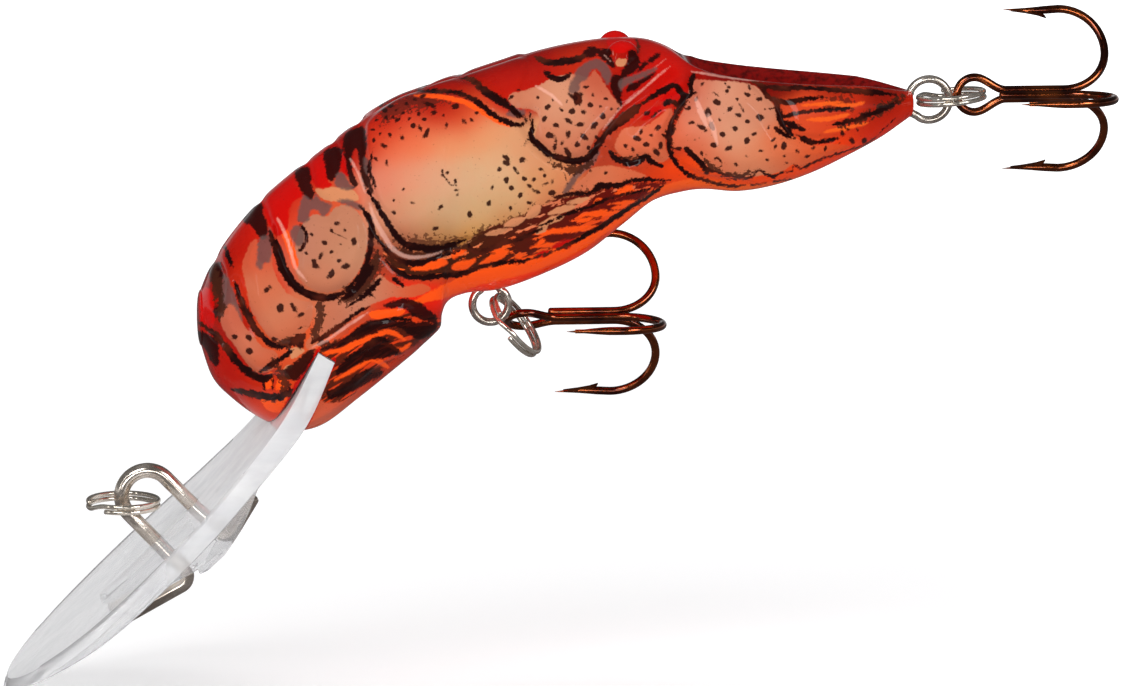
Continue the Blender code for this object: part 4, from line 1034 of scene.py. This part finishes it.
def paint_material():
    m = Nodes(bpy.data.materials.new("paint_crawfish"))
    fine = m.math("SUBTRACT", m.noise(scale=3000, detail=4.0, rough=0.65), 0.5)
    coarse = m.math("SUBTRACT", m.noise(scale=900, rough=0.6), 0.5)

    def lane(key, long, wide):
        """Noise stretched along the zone's line."""
        pair = m.new("ShaderNodeCombineXYZ", {
            0: m.math("DIVIDE", m.attr(key + "_s"), long),
            1: m.math("DIVIDE", m.attr(key + "_t"), wide)})
        return m.noise(scale=1.0, rough=0.5, vector=pair.outputs[0])

    def mask(key, ragged, soft, grow=0.0, strength=1.0):
        """strength inside the brushwork, 0 outside, with a ragged edge."""
        distance = m.plus(m.attr(key), m.times(coarse, ragged * 3.4))
        distance = m.plus(distance, m.times(fine, ragged * 5.4))
        return m.ramp(distance, grow - soft, grow + soft, strength, 0.0)

    # Airbrush speckle in the ground colour
    mist = m.ramp(m.noise(scale=1500, detail=4.0, rough=0.7), low=0.35, high=0.70)
    ground = m.blend(m.times(mist, 0.035), m.attr("ground", "Color"), srgb(255, 70, 30))
    color = m.blend(mask("d_panel", ragged=0.8, soft=1.0), ground, m.attr("panel", "Color"))
    stipple = m.plus(m.times(m.attr("d_stipple"), 0.030),
                     m.noise(scale=3300, detail=2.0, rough=0.5))
    color = m.blend(m.ramp(stipple, low=0.44, high=0.49, to_low=0.72, to_high=0.0),
                    color, srgb(70, 30, 20))
    # Dark flowing band with bright lozenges left between its lines
    zone = mask("d_band", ragged=2.2, soft=1.6)
    weave = m.plus(lane("band", long=25.0, wide=7.6), m.times(fine, 0.20))
    lozenge = m.ramp(weave, low=0.56, high=0.61)
    rear = m.ramp(m.attr("band_s"), low=60.0, high=250.0)
    lower = m.ramp(m.attr("band_t"), low=-9.0, high=2.0)
    bright = m.blend(lower, srgb(216, 140, 96), srgb(244, 92, 28))
    bright = m.blend(m.times(rear, 0.45), bright, srgb(230, 44, 14))
    dark = m.blend(rear, srgb(62, 26, 12), srgb(96, 12, 6))
    color = m.blend(m.times(zone, 0.94), color, m.blend(lozenge, dark, bright))
    # Streaked tail fan
    zone = mask("d_fan", ragged=1.6, soft=1.4)
    weave = m.plus(lane("fan", long=46.0, wide=4.6), m.times(fine, 0.10))
    streaked = m.blend(m.ramp(weave, low=0.50, high=0.58), srgb(72, 26, 12), srgb(224, 62, 18))
    color = m.blend(m.times(zone, 0.92), color, streaked)

    amber = m.blend(m.ramp(m.place("X"), low=0.004, high=0.014),
                    srgb(255, 84, 18), srgb(240, 92, 28))
    ink = m.blend(m.ramp(m.noise(scale=240, rough=0.6), low=0.46, high=0.66),
                  srgb(32, 6, 5), srgb(84, 30, 16))
    inside = m.blend(m.ramp(m.noise(scale=1900), low=0.30, high=0.60),
                     srgb(74, 5, 4), srgb(120, 9, 6))
    # Layers from the bottom up: attribute, colour, ragged, soft, grow, strength
    for key, layer, *edge in (
            ("d_orange", amber, 0.8, 1.1, 0.0, 0.95),
            # pale marks, the one under the eye a painted highlight
            ("d_pale", srgb(206, 132, 90), 0.7, 0.8),
            ("d_red", srgb(196, 8, 4), 0.9, 1.1, 0.0, 0.97),
            # dark wedges, those round the eye painted shade
            ("d_wedge", srgb(34, 6, 5), 1.3, 1.2, 0.0, 0.96),
            # grey patches: painted reflections on the glossy ink
            ("d_grey", srgb(98, 72, 68), 0.9, 1.6, 0.0, 0.85),
            ("d_brown", srgb(66, 30, 18), 3.4, 0.8, 0.0, 0.92),
            ("d_ink", ink, 1.3, 0.8, 0.2),
            ("d_dab", srgb(44, 12, 8), 0.9, 0.7, 0.2, 0.96),
            # pale pink streaks: painted highlights
            ("d_glow", srgb(250, 190, 172), 0.5, 1.0, 0.0, 0.42),
            ("d_inner", inside, 0.4, 0.8)):
        color = m.blend(mask(key, *edge), color, layer)
    specks = m.ramp(m.noise(scale=5200, detail=1.0, rough=0.5), low=0.72, high=0.76)
    m.surface(
        Base_Color=m.blend(m.times(specks, 0.35), color, srgb(60, 20, 12)),
        Roughness=m.ramp(m.noise(scale=420), low=0.3, high=0.7, to_low=0.26, to_high=0.36),
        Coat_Weight=0.75, Coat_Roughness=0.03, Coat_IOR=1.30, Specular_IOR_Level=0.03,
        Subsurface_Weight=0.0)
    m.bump(m.plus(m.noise(scale=900, detail=2.0), m.times(m.noise(scale=260, detail=2.0), 1.5)),
           strength=0.10, distance=0.00006)
    return m.owner


def plastic_material():
    m = Nodes(bpy.data.materials.new("shell_plastic"))
    tone = m.ramp(m.noise(scale=300, detail=4.0), low=0.35, high=0.65)
    m.surface(
        Base_Color=m.blend(tone, srgb(214, 196, 170), srgb(196, 172, 146)),
        Roughness=m.ramp(m.noise(scale=900), low=0.3, high=0.7, to_low=0.42, to_high=0.60))
    m.bump(m.noise(scale=2500), strength=0.15, distance=0.00003)
    return m.owner


def lip_material():
    m = Nodes(bpy.data.materials.new("clear_polycarbonate"))
    # Streaks stretched along the blade
    stretched = m.new("ShaderNodeMapping", {
        "Scale": (0.12, 1.0, 1.0), "Rotation": (0, math.radians(-42), 0),
        "Vector": m.coord["Object"]})
    streak = m.noise(scale=600, rough=0.6, vector=stretched.outputs["Vector"])
    place = m.new("ShaderNodeSeparateXYZ", {0: m.coord["Object"]}).outputs
    frost = m.ramp(place[0], low=-0.0365, high=-0.0245)
    # The boss under the blade stays clearer than the tongue.
    above = m.plus(m.times(place[0], TIE_OUT[0]), m.times(place[2], TIE_OUT[1]))
    level = (TIE_MID[0] * TIE_OUT[0] + TIE_MID[1] * TIE_OUT[1]) * MM
    frost = m.times(frost, m.ramp(above, low=level - 0.0032, high=level - 0.0021,
                                  to_low=0.20, to_high=1.0))
    m.surface(
        Base_Color=m.blend(m.ramp(streak, low=0.35, high=0.68),
                           srgb(252, 252, 252), srgb(240, 240, 242)),
        Transmission_Weight=m.ramp(frost, low=0.0, high=1.0, to_low=0.80, to_high=0.42),
        IOR=1.16,
        Roughness=m.plus(m.ramp(streak, low=0.35, high=0.72, to_low=0.015, to_high=0.09),
                         m.times(frost, 0.10)),
        Coat_Weight=0.2, Coat_Roughness=0.03, Coat_IOR=1.35)
    m.bump(m.plus(streak, m.times(m.noise(scale=120, detail=2.0), 1.2)),
           strength=0.06, distance=0.00006)
    return m.owner


def metal_material(name, light, dark, rough, scratch=0.2, coat=0.0, patches=500, metallic=1.0):
    m = Nodes(bpy.data.materials.new(name))
    tone = m.ramp(m.noise(scale=patches, detail=4.0, rough=0.6), low=0.35, high=0.68)
    fine = m.noise(scale=4200, rough=0.6)
    m.surface(
        Base_Color=m.blend(tone, srgb(*dark), srgb(*light)), Metallic=metallic,
        Roughness=m.ramp(fine, low=0.3, high=0.75, to_low=rough * 0.7, to_high=rough * 1.5),
        Coat_Weight=coat, Coat_Roughness=0.04)
    m.bump(fine, strength=scratch, distance=0.00002)
    return m.owner


PAINT = paint_material()
PLASTIC = plastic_material()
CLEAR = lip_material()
STAINLESS = metal_material("drawn_stainless", light=(236, 226, 214), dark=(186, 174, 162),
                           rough=0.13, metallic=0.86)
NICKEL = metal_material("nickel_plate", light=(244, 236, 224), dark=(204, 194, 180),
                        rough=0.09, metallic=0.84)
BRONZE = metal_material("bronzed_wire", light=(178, 90, 40), dark=(92, 34, 16), rough=0.16,
                        scratch=0.25, coat=0.5, patches=420)
LEAD = metal_material("cast_ballast", light=(128, 130, 134), dark=(84, 86, 90), rough=0.42,
                      scratch=0.6)
STEEL = metal_material("rattle_shot", light=(208, 208, 212), dark=(170, 170, 174), rough=0.10)

# ------------------------------------------------------------------------ shells
slots_cut = openings()
for side, hand in ((-1, "left"), (1, "right")):
    name = "painted_shell_" + hand
    shell = cut(shell_mesh(name, side), "DIFFERENCE", slots_cut.copy())
    shell.name = name
    add(name, paint(shell), "body_shell_" + hand, "shell_paint", PAINT, PLASTIC)


# --------------------------------------------------------------------------- lip
def blade_mesh(count=180, across=22, corner=5):
    """The blade: count rows from body to tip, each a rounded bar as wide as the plan there."""
    def resample(points):
        points = np.array(spline(points, 16))
        length = run_lengths(np.hypot(*np.diff(points, axis=0).T))
        t = np.linspace(0, length[-1], count)
        return np.stack([np.interp(t, length, points[:, k]) for k in (0, 1)], 1)
    top, bottom = resample(LIP_TOP), resample(LIP_BOTTOM[::-1])
    bend = np.array(LIP_TOP[1])
    run = np.array(centred((-45.5, -26.6))) - bend
    run = run / np.linalg.norm(run)
    plan = np.array(spline(LIP_HALF, 8))

    def half_width(upper, lower, limit):
        beyond = np.minimum(((upper + lower) / 2 - bend) @ run, limit)
        return np.interp(beyond, plan[:, 0], plan[:, 1])
    rows = list(zip(top, bottom, half_width(top, bottom, 31.02)))[:-1]
    # Crowded last rows keep the tip's plan round.
    for k in range(1, 12):
        share = 1 - (1 - k / 12) ** 2
        upper = top[-2] + (top[-1] - top[-2]) * share
        lower = bottom[-2] + (bottom[-1] - bottom[-2]) * share
        rows.append((upper, lower, max(0.12, float(half_width(upper, lower, 31.08)))))
    verts, faces = [], []
    for upper, lower, half in rows:
        thick = np.linalg.norm(upper - lower)
        radius = min(thick / 2, half * 0.9, 0.14 + 0.30 * smoothstep(half, 7.6, 9.5))
        normal = (upper - lower) / thick
        flat = np.linspace(-(half - radius), half - radius, across + 1)
        for edge, side, places in ((upper, 1, flat), (lower, -1, flat[::-1])):
            verts += [(edge[0], y, edge[1]) for y in places]
            for k in range(1, corner + 1):
                angle = math.pi / 2 * (1 - k / (corner + 1) * 2)
                x, z = (upper + lower) / 2 + normal * (side * thick / 2 * math.sin(angle))
                verts.append((x, side * (half - radius + radius * math.cos(angle)), z))
    n = 2 * (across + 1) + 2 * corner
    for i in range(len(rows) - 1):
        for k in range(n):
            m = (k + 1) % n
            faces.append((i * n + k, i * n + m, (i + 1) * n + m, (i + 1) * n + k))
    faces.append(tuple(range(n - 1, -1, -1)))
    faces.append(tuple((len(rows) - 1) * n + k for k in range(n)))
    return mesh_from("clear_diving_lip", verts, faces)


def lip_mesh():
    """The blade with its boss and cheeks, bored for the line tie's legs."""
    lip = cut(blade_mesh(), "UNION", beveled_prism(BOSS, half=2.1, width=0.28))
    for y in (-1.42, 1.42):
        cheek = beveled_prism(BOSS_CHEEK, half=0.66, width=0.20)
        cheek.transform(Matrix.Translation((0, y * MM, 0)))
        lip = cut(lip, "UNION", cheek)
    legs = []
    for sign in (1, -1):
        top = (Vector(TIE_MID) + Vector(TIE_DOWN) * (sign * TIE_ARCH_RADIUS)
               + Vector(TIE_OUT) * 1.5)
        end = top - Vector(TIE_OUT) * 9.0
        legs.append(sweep("leg", [in_plane(top), in_plane((top + end) / 2), in_plane(end)],
                          TIE_RADIUS + 0.10, 28))
    return sharpen(cut(lip, "DIFFERENCE", join(legs)), "clear_diving_lip", 32)


add("clear_diving_lip", lip_mesh(), "diving_lip", "clear_lip", CLEAR)


# ------------------------------------------------------------------- wires, rings
def filleted(points, radius, steps=14):
    """The open path with its corners rounded."""
    points = [Vector(point) for point in points]
    out = [points[0]]
    for before, corner, after in zip(points, points[1:], points[2:]):
        back, ahead = (before - corner).normalized(), (after - corner).normalized()
        half = back.angle(ahead) / 2
        reach = radius / math.tan(half)
        start, end = corner + back * reach, corner + ahead * reach
        centre = corner + (back + ahead).normalized() * (radius / math.sin(half))
        first, last = start - centre, end - centre
        angle, axis = first.angle(last), first.cross(last).normalized()
        for k in range(steps + 1):
            out.append(centre + Matrix.Rotation(angle * k / steps, 3, axis) @ first)
    out.append(points[-1])
    return out


def tie_path():
    mid, down, out = in_plane(TIE_MID), in_plane(TIE_DOWN), in_plane(TIE_OUT)
    centre = mid + out * TIE_STAND
    arch = [centre + (down * math.cos(math.pi * k / 48)
                      + out * math.sin(math.pi * k / 48)) * TIE_ARCH_RADIUS for k in range(49)]
    front = filleted([in_plane(TIE_FRONT_END), in_plane(TIE_FRONT_KNEE), arch[0]], TIE_FILLET)
    rear = filleted([arch[-1], in_plane(TIE_REAR_KNEE), in_plane(TIE_REAR_END)], TIE_FILLET)
    return front[:-1] + arch + rear[1:]


def hanger_path(eye, anchor, eye_radius):
    """A closed wire: an open eye, a narrow neck and a smaller loop at the anchor."""
    eye, anchor = in_plane(eye), in_plane(anchor)
    along = (anchor - eye).normalized()
    across = Vector((-along.z, 0, along.x))

    def loop(centre, radius, start, steps):
        opening = math.asin(HANGER_NECK / radius) + 0.25
        for k in range(steps + 1):
            t = start + opening + (2 * math.pi - 2 * opening) * k / steps
            yield centre + (along * math.cos(t) + across * math.sin(t)) * radius
    near = eye + along * (eye_radius + 0.55)
    far = eye + along * ((anchor - eye).length - ANCHOR_RADIUS - 0.35)
    neck = across * HANGER_NECK
    return [*loop(eye, eye_radius, 0.0, 16), near - neck, far - neck,
            *loop(anchor, ANCHOR_RADIUS, -math.pi, 12), far + neck, near + neck]


def ring_path(radius, jog_at):
    """Nearly two turns of wire, stepping aside by the pitch where they pass."""
    start, total, per_turn = 22, 676.0, 84
    jog_start, jog_length, pitch = 338, 44, 0.44
    count = int(per_turn * total / 360)
    out = []
    for k in range(count + 1):
        degrees = start + total * k / count
        t = min(1.0, max(0.0, (degrees - jog_start) / jog_length))
        angle = math.radians(degrees + jog_at)
        out.append(Vector((radius * math.cos(angle), radius * math.sin(angle),
                           pitch * (t * t * (3 - 2 * t) - 0.5))))
    return out


def split_ring(place, radius, centre, first, second, jog_at, node=None):
    """A ring in the plane of the directions first and second."""
    first, second = Vector(first).normalized(), Vector(second)
    second = (second - first * second.dot(first)).normalized()
    axis = first.cross(second)
    points = [Vector(centre) + first * x + second * y + axis * z
              for x, y, z in ring_path(radius, jog_at)]
    name = place + "_ring_wire"
    add(name, sweep(name, points, RING_WIRE, 16), node or place + "_split_ring", "nickel_rings",
        NICKEL, body=place + "_ring")


add("line_tie", sweep("line_tie", tie_path(), TIE_RADIUS, 24), "line_tie_wire",
    "stainless_wire", STAINLESS)
for place, eye, anchor, radius in (("belly", BELLY_EYE, BELLY_ANCHOR, BELLY_EYE_RADIUS),
                                   ("tail", TAIL_EYE, TAIL_ANCHOR, TAIL_EYE_RADIUS)):
    name = place + "_hanger_wire"
    wire = closed_spline(hanger_path(eye, anchor, radius), 5)
    add(name, sweep(name, wire, HANGER_WIRE, 18, cyclic=True), place + "_hook_hanger",
        "stainless_wire", STAINLESS)

arch_x = TIE_MID[0] + TIE_OUT[0] * TIE_STAND
arch_z = TIE_MID[1] + TIE_OUT[1] * TIE_STAND
split_ring("line", LINE_RING, (arch_x - 1.955, 0, arch_z - 0.557), (1, 0, 0), (0, 1, 0.04),
           jog_at=215, node="line_tie_split_ring")
belly_down = Vector((0.62, 0, -0.785)).normalized()
belly_tilt = Vector((0.785, 0, 0.62)).normalized()
belly_side = (Vector((0, math.cos(math.radians(15)), 0))
              + belly_tilt * math.sin(math.radians(15)))
belly_centre = Vector((BELLY_EYE[0] + 0.30, 0, BELLY_EYE[1] + 0.45)) + belly_down * BELLY_RING
split_ring("belly", BELLY_RING, belly_centre, belly_down, belly_side, jog_at=250)
# Where the treble's eye crosses each ring
belly_cross = belly_centre + (belly_down * math.cos(math.radians(80))
                              + belly_side * math.sin(math.radians(80))) * BELLY_RING
tail_back = Vector((0.9945, 0, 0.1045))
tail_centre = in_plane(TAIL_EYE) + tail_back * (TAIL_RING - 0.85)
split_ring("tail", TAIL_RING, tail_centre, tail_back, (0, 1, 0), jog_at=120)
tail_cross = tail_centre + tail_back * TAIL_RING


# --------------------------------------------------------------------------- hooks
# Barb outline: x, and height off the point's inner side
BARB = [(3.5, 0.02), (4.6, 0.20), (5.6, 0.43), (6.34, 0.72), (6.22, 0.46), (5.95, 0.26),
        (5.9, 0.0), (4.4, -0.05)]
SINGLE_SHANK = 0.655               # the single hook's shank off the axis
SINGLE_START_X = 2.15


def roll(degrees):
    """The direction at this angle round X from +Z towards +Y."""
    angle = math.radians(degrees)
    return Vector((0, math.sin(angle), math.cos(angle)))


def prong(direction, offset):
    """Round the bend from the shank to the point: places and widths."""
    points, widths = [], [1.0] * 45
    for k in range(45):
        angle = math.pi * k / 44
        rise = HOOK_GAPE * (1 - math.cos(angle)) / 2
        points.append(Vector((HOOK_BEND_X + HOOK_BEND_RADIUS * math.sin(angle), 0, 0))
                      + direction * rise + offset * max(0.0, math.cos(angle)))
    for k in range(1, 25):
        t = k / 24
        x = HOOK_BEND_X + (HOOK_POINT_X - HOOK_BEND_X) * t
        dip = -0.10 * math.sin(math.pi * min(1.0, t * 1.05)) if t < 0.95 else 0.0
        points.append(Vector((x, 0, 0)) + direction * (HOOK_GAPE + dip))
        widths.append(1.0 if t < 0.22 else max(0.05, 1.0 - ((t - 0.22) / 0.78) ** 1.25 * 0.95))
    return points, widths


def barb(direction, shift):
    """A sliver raised off the point's inner side, its tip towards the bend."""
    side = Vector((1, 0, 0)).cross(direction)
    faces = []
    for sign in (-1, 1):
        outline = []
        for x, up in BARB:
            wide = 0.17 * (1 - 0.55 * min(1.0, max(0.0, up / 0.72)))
            outline.append(Vector((x, 0, 0)) + direction * (HOOK_GAPE - 0.10 - up)
                           + side * (sign * wide) + shift)
        faces.append(outline)
    return extruded("barb", *faces, smooth=True)


def add_hook(prefix, kind, points, widths, directions, shift):
    name = f"{prefix}_{kind}_hook"
    mesh = sweep(name, [point + shift for point in points],
                 [HOOK_WIRE * width for width in widths], 20)
    for direction in directions:
        mesh = cut(mesh, "UNION", barb(direction, shift))
    add(name, sharpen(mesh, name, 38), f"{prefix}_treble_{kind}_hook", "bronzed_hooks", BRONZE,
        body=prefix + "_treble")


def treble(prefix, shift, single_deg):
    """A double hook bent from one wire through the eye, and a single hook beside it."""
    normal = roll(single_deg)
    directions = roll(single_deg + 120), roll(single_deg - 120)
    across = Vector((1, 0, 0)).cross(normal)
    if across.dot(directions[0]) < 0:
        across = -across
    half = HOOK_WIRE + 0.02
    first_points, first_widths = prong(directions[0], across * half)
    last_points, last_widths = prong(directions[1], -across * half)
    # Shank and eye as (x, distance across); the way back mirrors the way out.
    walk = [(HOOK_EYE_LENGTH + 4.6 * (1 - k / 8), half) for k in range(8)]
    walk.append((HOOK_EYE_LENGTH, half))
    for k in range(1, 16):
        x = HOOK_EYE_LENGTH * (1 - k / 16)
        swell = 0.5 + 0.5 * math.cos(math.pi * x / HOOK_EYE_LENGTH)
        walk.append((x, half + (HOOK_EYE_RADIUS - half) * swell))
    back = [(x, -away) for x, away in reversed(walk)]
    for k in range(33):
        angle = math.pi / 2 + math.pi * k / 32
        walk.append((HOOK_EYE_RADIUS * math.cos(angle), HOOK_EYE_RADIUS * math.sin(angle)))
    middle = [Vector((x, 0, 0)) + across * away for x, away in walk + back]
    add_hook(prefix, "double", first_points[::-1] + middle + last_points,
             first_widths[::-1] + [1.0] * len(middle) + last_widths, directions, shift)
    offset = normal * SINGLE_SHANK
    points, widths = prong(normal, offset)
    start = [Vector((SINGLE_START_X + (HOOK_BEND_X - SINGLE_START_X) * k / 12, 0, 0)) + offset
             for k in range(12)]
    add_hook(prefix, "single", start + points, [1.0] * len(start) + widths, (normal,), shift)


treble("belly", belly_cross + Vector((0.10, 0, -0.04)), single_deg=31)
treble("tail", tail_cross - Vector((0.80, 0, 0.12)), single_deg=271)

# ------------------------------------------------------- carried-over CAD nodes
for node, material, slot in (("ballast_weight", LEAD, "ballast_metal"),
                             ("rattle_ball_1", STEEL, "rattle_steel"),
                             ("rattle_ball_2", STEEL, "rattle_steel"),
                             ("rattle_ball_3", STEEL, "rattle_steel")):
    obj = frame["nodes"][node]
    obj.data.materials.clear()
    obj.data.materials.append(material)


# ------------------------------------------------------- stage, in metres
def floor_material():
    """Pale and glowing to the camera, dark in reflections."""
    m = Nodes(bpy.data.materials.new("pale_floor"))
    pale = m.blend(m.ramp(m.noise(scale=3.0), low=0.3, high=0.7),
                   (0.90, 0.90, 0.90), (0.93, 0.93, 0.93))
    ray = m.new("ShaderNodeLightPath").outputs
    mirrored = m.math("SUBTRACT", ray["Is Glossy Ray"], ray["Is Transmission Ray"], clamp=True)
    length = m.new("ShaderNodeVectorMath", {0: m.coord["Object"]}, operation="LENGTH")
    glow = m.ramp(length.outputs["Value"], low=0.10, high=0.50, to_low=0.24, to_high=1.0)
    m.surface(Base_Color=m.blend(mirrored, pale, (0.10, 0.09, 0.09)), Roughness=0.75,
              Emission_Color=(1.0, 1.0, 1.0),
              Emission_Strength=m.times(ray["Is Camera Ray"], glow))
    return m.owner


def build_floor(radius=9.0, gap=0.0006):
    bm = bmesh.new()
    bmesh.ops.create_circle(bm, cap_ends=True, segments=96, radius=radius)
    bmesh.ops.translate(bm, verts=bm.verts, vec=(0, 0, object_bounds()[0].z - gap))
    floor = bpy.data.objects.new("floor", filled(bm, bpy.data.meshes.new("floor")))
    floor.data.materials.append(floor_material())
    scene.collection.objects.link(floor)


def build_world():
    """White to the camera, soft grey as light, and a banded studio in reflections."""
    scene.world = bpy.data.worlds.new("studio")
    m = Nodes(scene.world)
    ray = m.new("ShaderNodeLightPath").outputs
    split = m.new("ShaderNodeSeparateXYZ", {0: m.coord["Generated"]})
    level = m.new("ShaderNodeMapRange", {
        "Value": split.outputs["Z"], "From Min": -1.0, "From Max": 1.0})
    bands = m.new("ShaderNodeValToRGB", {"Fac": level.outputs["Result"]})
    elements = bands.color_ramp.elements
    elements[0].position, elements[0].color = 0.0, (0.40, 0.40, 0.40, 1)
    elements[1].position, elements[1].color = 1.0, (0.10, 0.10, 0.10, 1)
    # Height from straight down (0) to straight up (1), and brightness
    for height, grey in ((0.44, 0.66), (0.53, 0.56), (0.57, 0.12), (0.64, 0.03), (0.84, 0.04)):
        elements.new(height).color = (grey, grey, grey * 1.01, 1)
    light = m.blend(ray["Is Glossy Ray"], (0.56, 0.56, 0.57), bands.outputs["Color"])
    lit = m.new("ShaderNodeBackground", {"Color": light, "Strength": 1.0})
    seen = m.new("ShaderNodeBackground", {"Color": (1.0, 1.0, 1.0), "Strength": 1.0})
    direct = m.math("MAXIMUM", ray["Is Camera Ray"], ray["Is Transmission Ray"])
    mixer = m.new("ShaderNodeMixShader", {"Fac": direct, 1: lit.outputs[0], 2: seen.outputs[0]})
    m.new("ShaderNodeOutputWorld", {"Surface": mixer.outputs[0]})


def area(name, where, width, height, power):
    """A rectangular lamp facing the origin; the clear lip doesn't show it."""
    data = bpy.data.lights.new(name, "AREA")
    data.shape = "RECTANGLE"
    data.size, data.size_y = width, height
    data.energy = power
    lamp = bpy.data.objects.new(name, data)
    lamp.location = where
    lamp.rotation_mode = "QUATERNION"
    lamp.rotation_quaternion = (-Vector(where)).to_track_quat("-Z", "Y")
    lamp.visible_transmission = False
    scene.collection.objects.link(lamp)
    return lamp


# Lamps: name, place, width, height, watts
SOFTBOXES = [
    ("key_softbox", (-0.30, -0.80, 0.70), 1.10, 0.80, 6.0),
    ("fill_right", (0.85, -0.55, 0.15), 0.40, 0.70, 1.1),
    ("fill_left", (-0.90, -0.20, 0.10), 0.40, 0.70, 0.8),
    ("top_softbox", (0.05, 0.12, 0.90), 0.80, 0.40, 1.3)]
STRIPS = [
    ("strip_right", (0.30, -0.72, 0.20), 0.05, 0.45, 0.40),
    ("strip_left", (-0.62, -0.50, 0.25), 0.06, 0.45, 0.40)]
WIRE_LAMPS = [
    ("wire_lamp_left", (-0.30, -0.70, 0.50), 0.40, 0.24, 2.6),
    ("wire_lamp_right", (0.45, -0.55, 0.30), 0.26, 0.26, 1.9),
    ("wire_lamp_low", (-0.10, -0.80, 0.02), 0.50, 0.10, 1.2)]


def build_lights():
    for lamp in SOFTBOXES:
        area(*lamp).visible_glossy = False
    for lamp in STRIPS:
        area(*lamp)
    # Small lamps that light only the wire pieces
    wires = bpy.data.collections.new("wire_pieces")
    for obj in list(scene.objects):
        if (obj.type == "MESH" and obj.data.materials
                and obj.data.materials[0] in (STAINLESS, NICKEL, BRONZE)):
            wires.objects.link(obj)
    for row in WIRE_LAMPS:
        lamp = area(*row)
        lamp.visible_diffuse = False
        lamp.light_linking.receiver_collection = wires


def build_camera(framed_width=91.932, aim_right=0.45, aim_up=0.34):
    """Looks along the elevation's view direction; framing and aim in mm."""
    data = bpy.data.cameras.new("camera")
    data.lens = 300.0
    data.sensor_width = 36.0
    data.clip_start, data.clip_end = 0.01, 40.0
    camera = bpy.data.objects.new("camera", data)
    scene.collection.objects.link(camera)
    back = Vector((math.sin(AZIMUTH) * math.cos(HEIGHT_ANGLE),
                   -math.cos(AZIMUTH) * math.cos(HEIGHT_ANGLE), math.sin(HEIGHT_ANGLE)))
    aim = (Vector(RIGHT) * aim_right + Vector(UP) * aim_up) * MM
    camera.location = aim + back * (framed_width * MM * data.lens / data.sensor_width)
    camera.rotation_mode = "QUATERNION"
    camera.rotation_quaternion = (-back).to_track_quat("-Z", "Y")
    scene.camera = camera


build_floor()
build_world()
build_lights()
scene.view_settings.view_transform = "Standard"
build_camera()
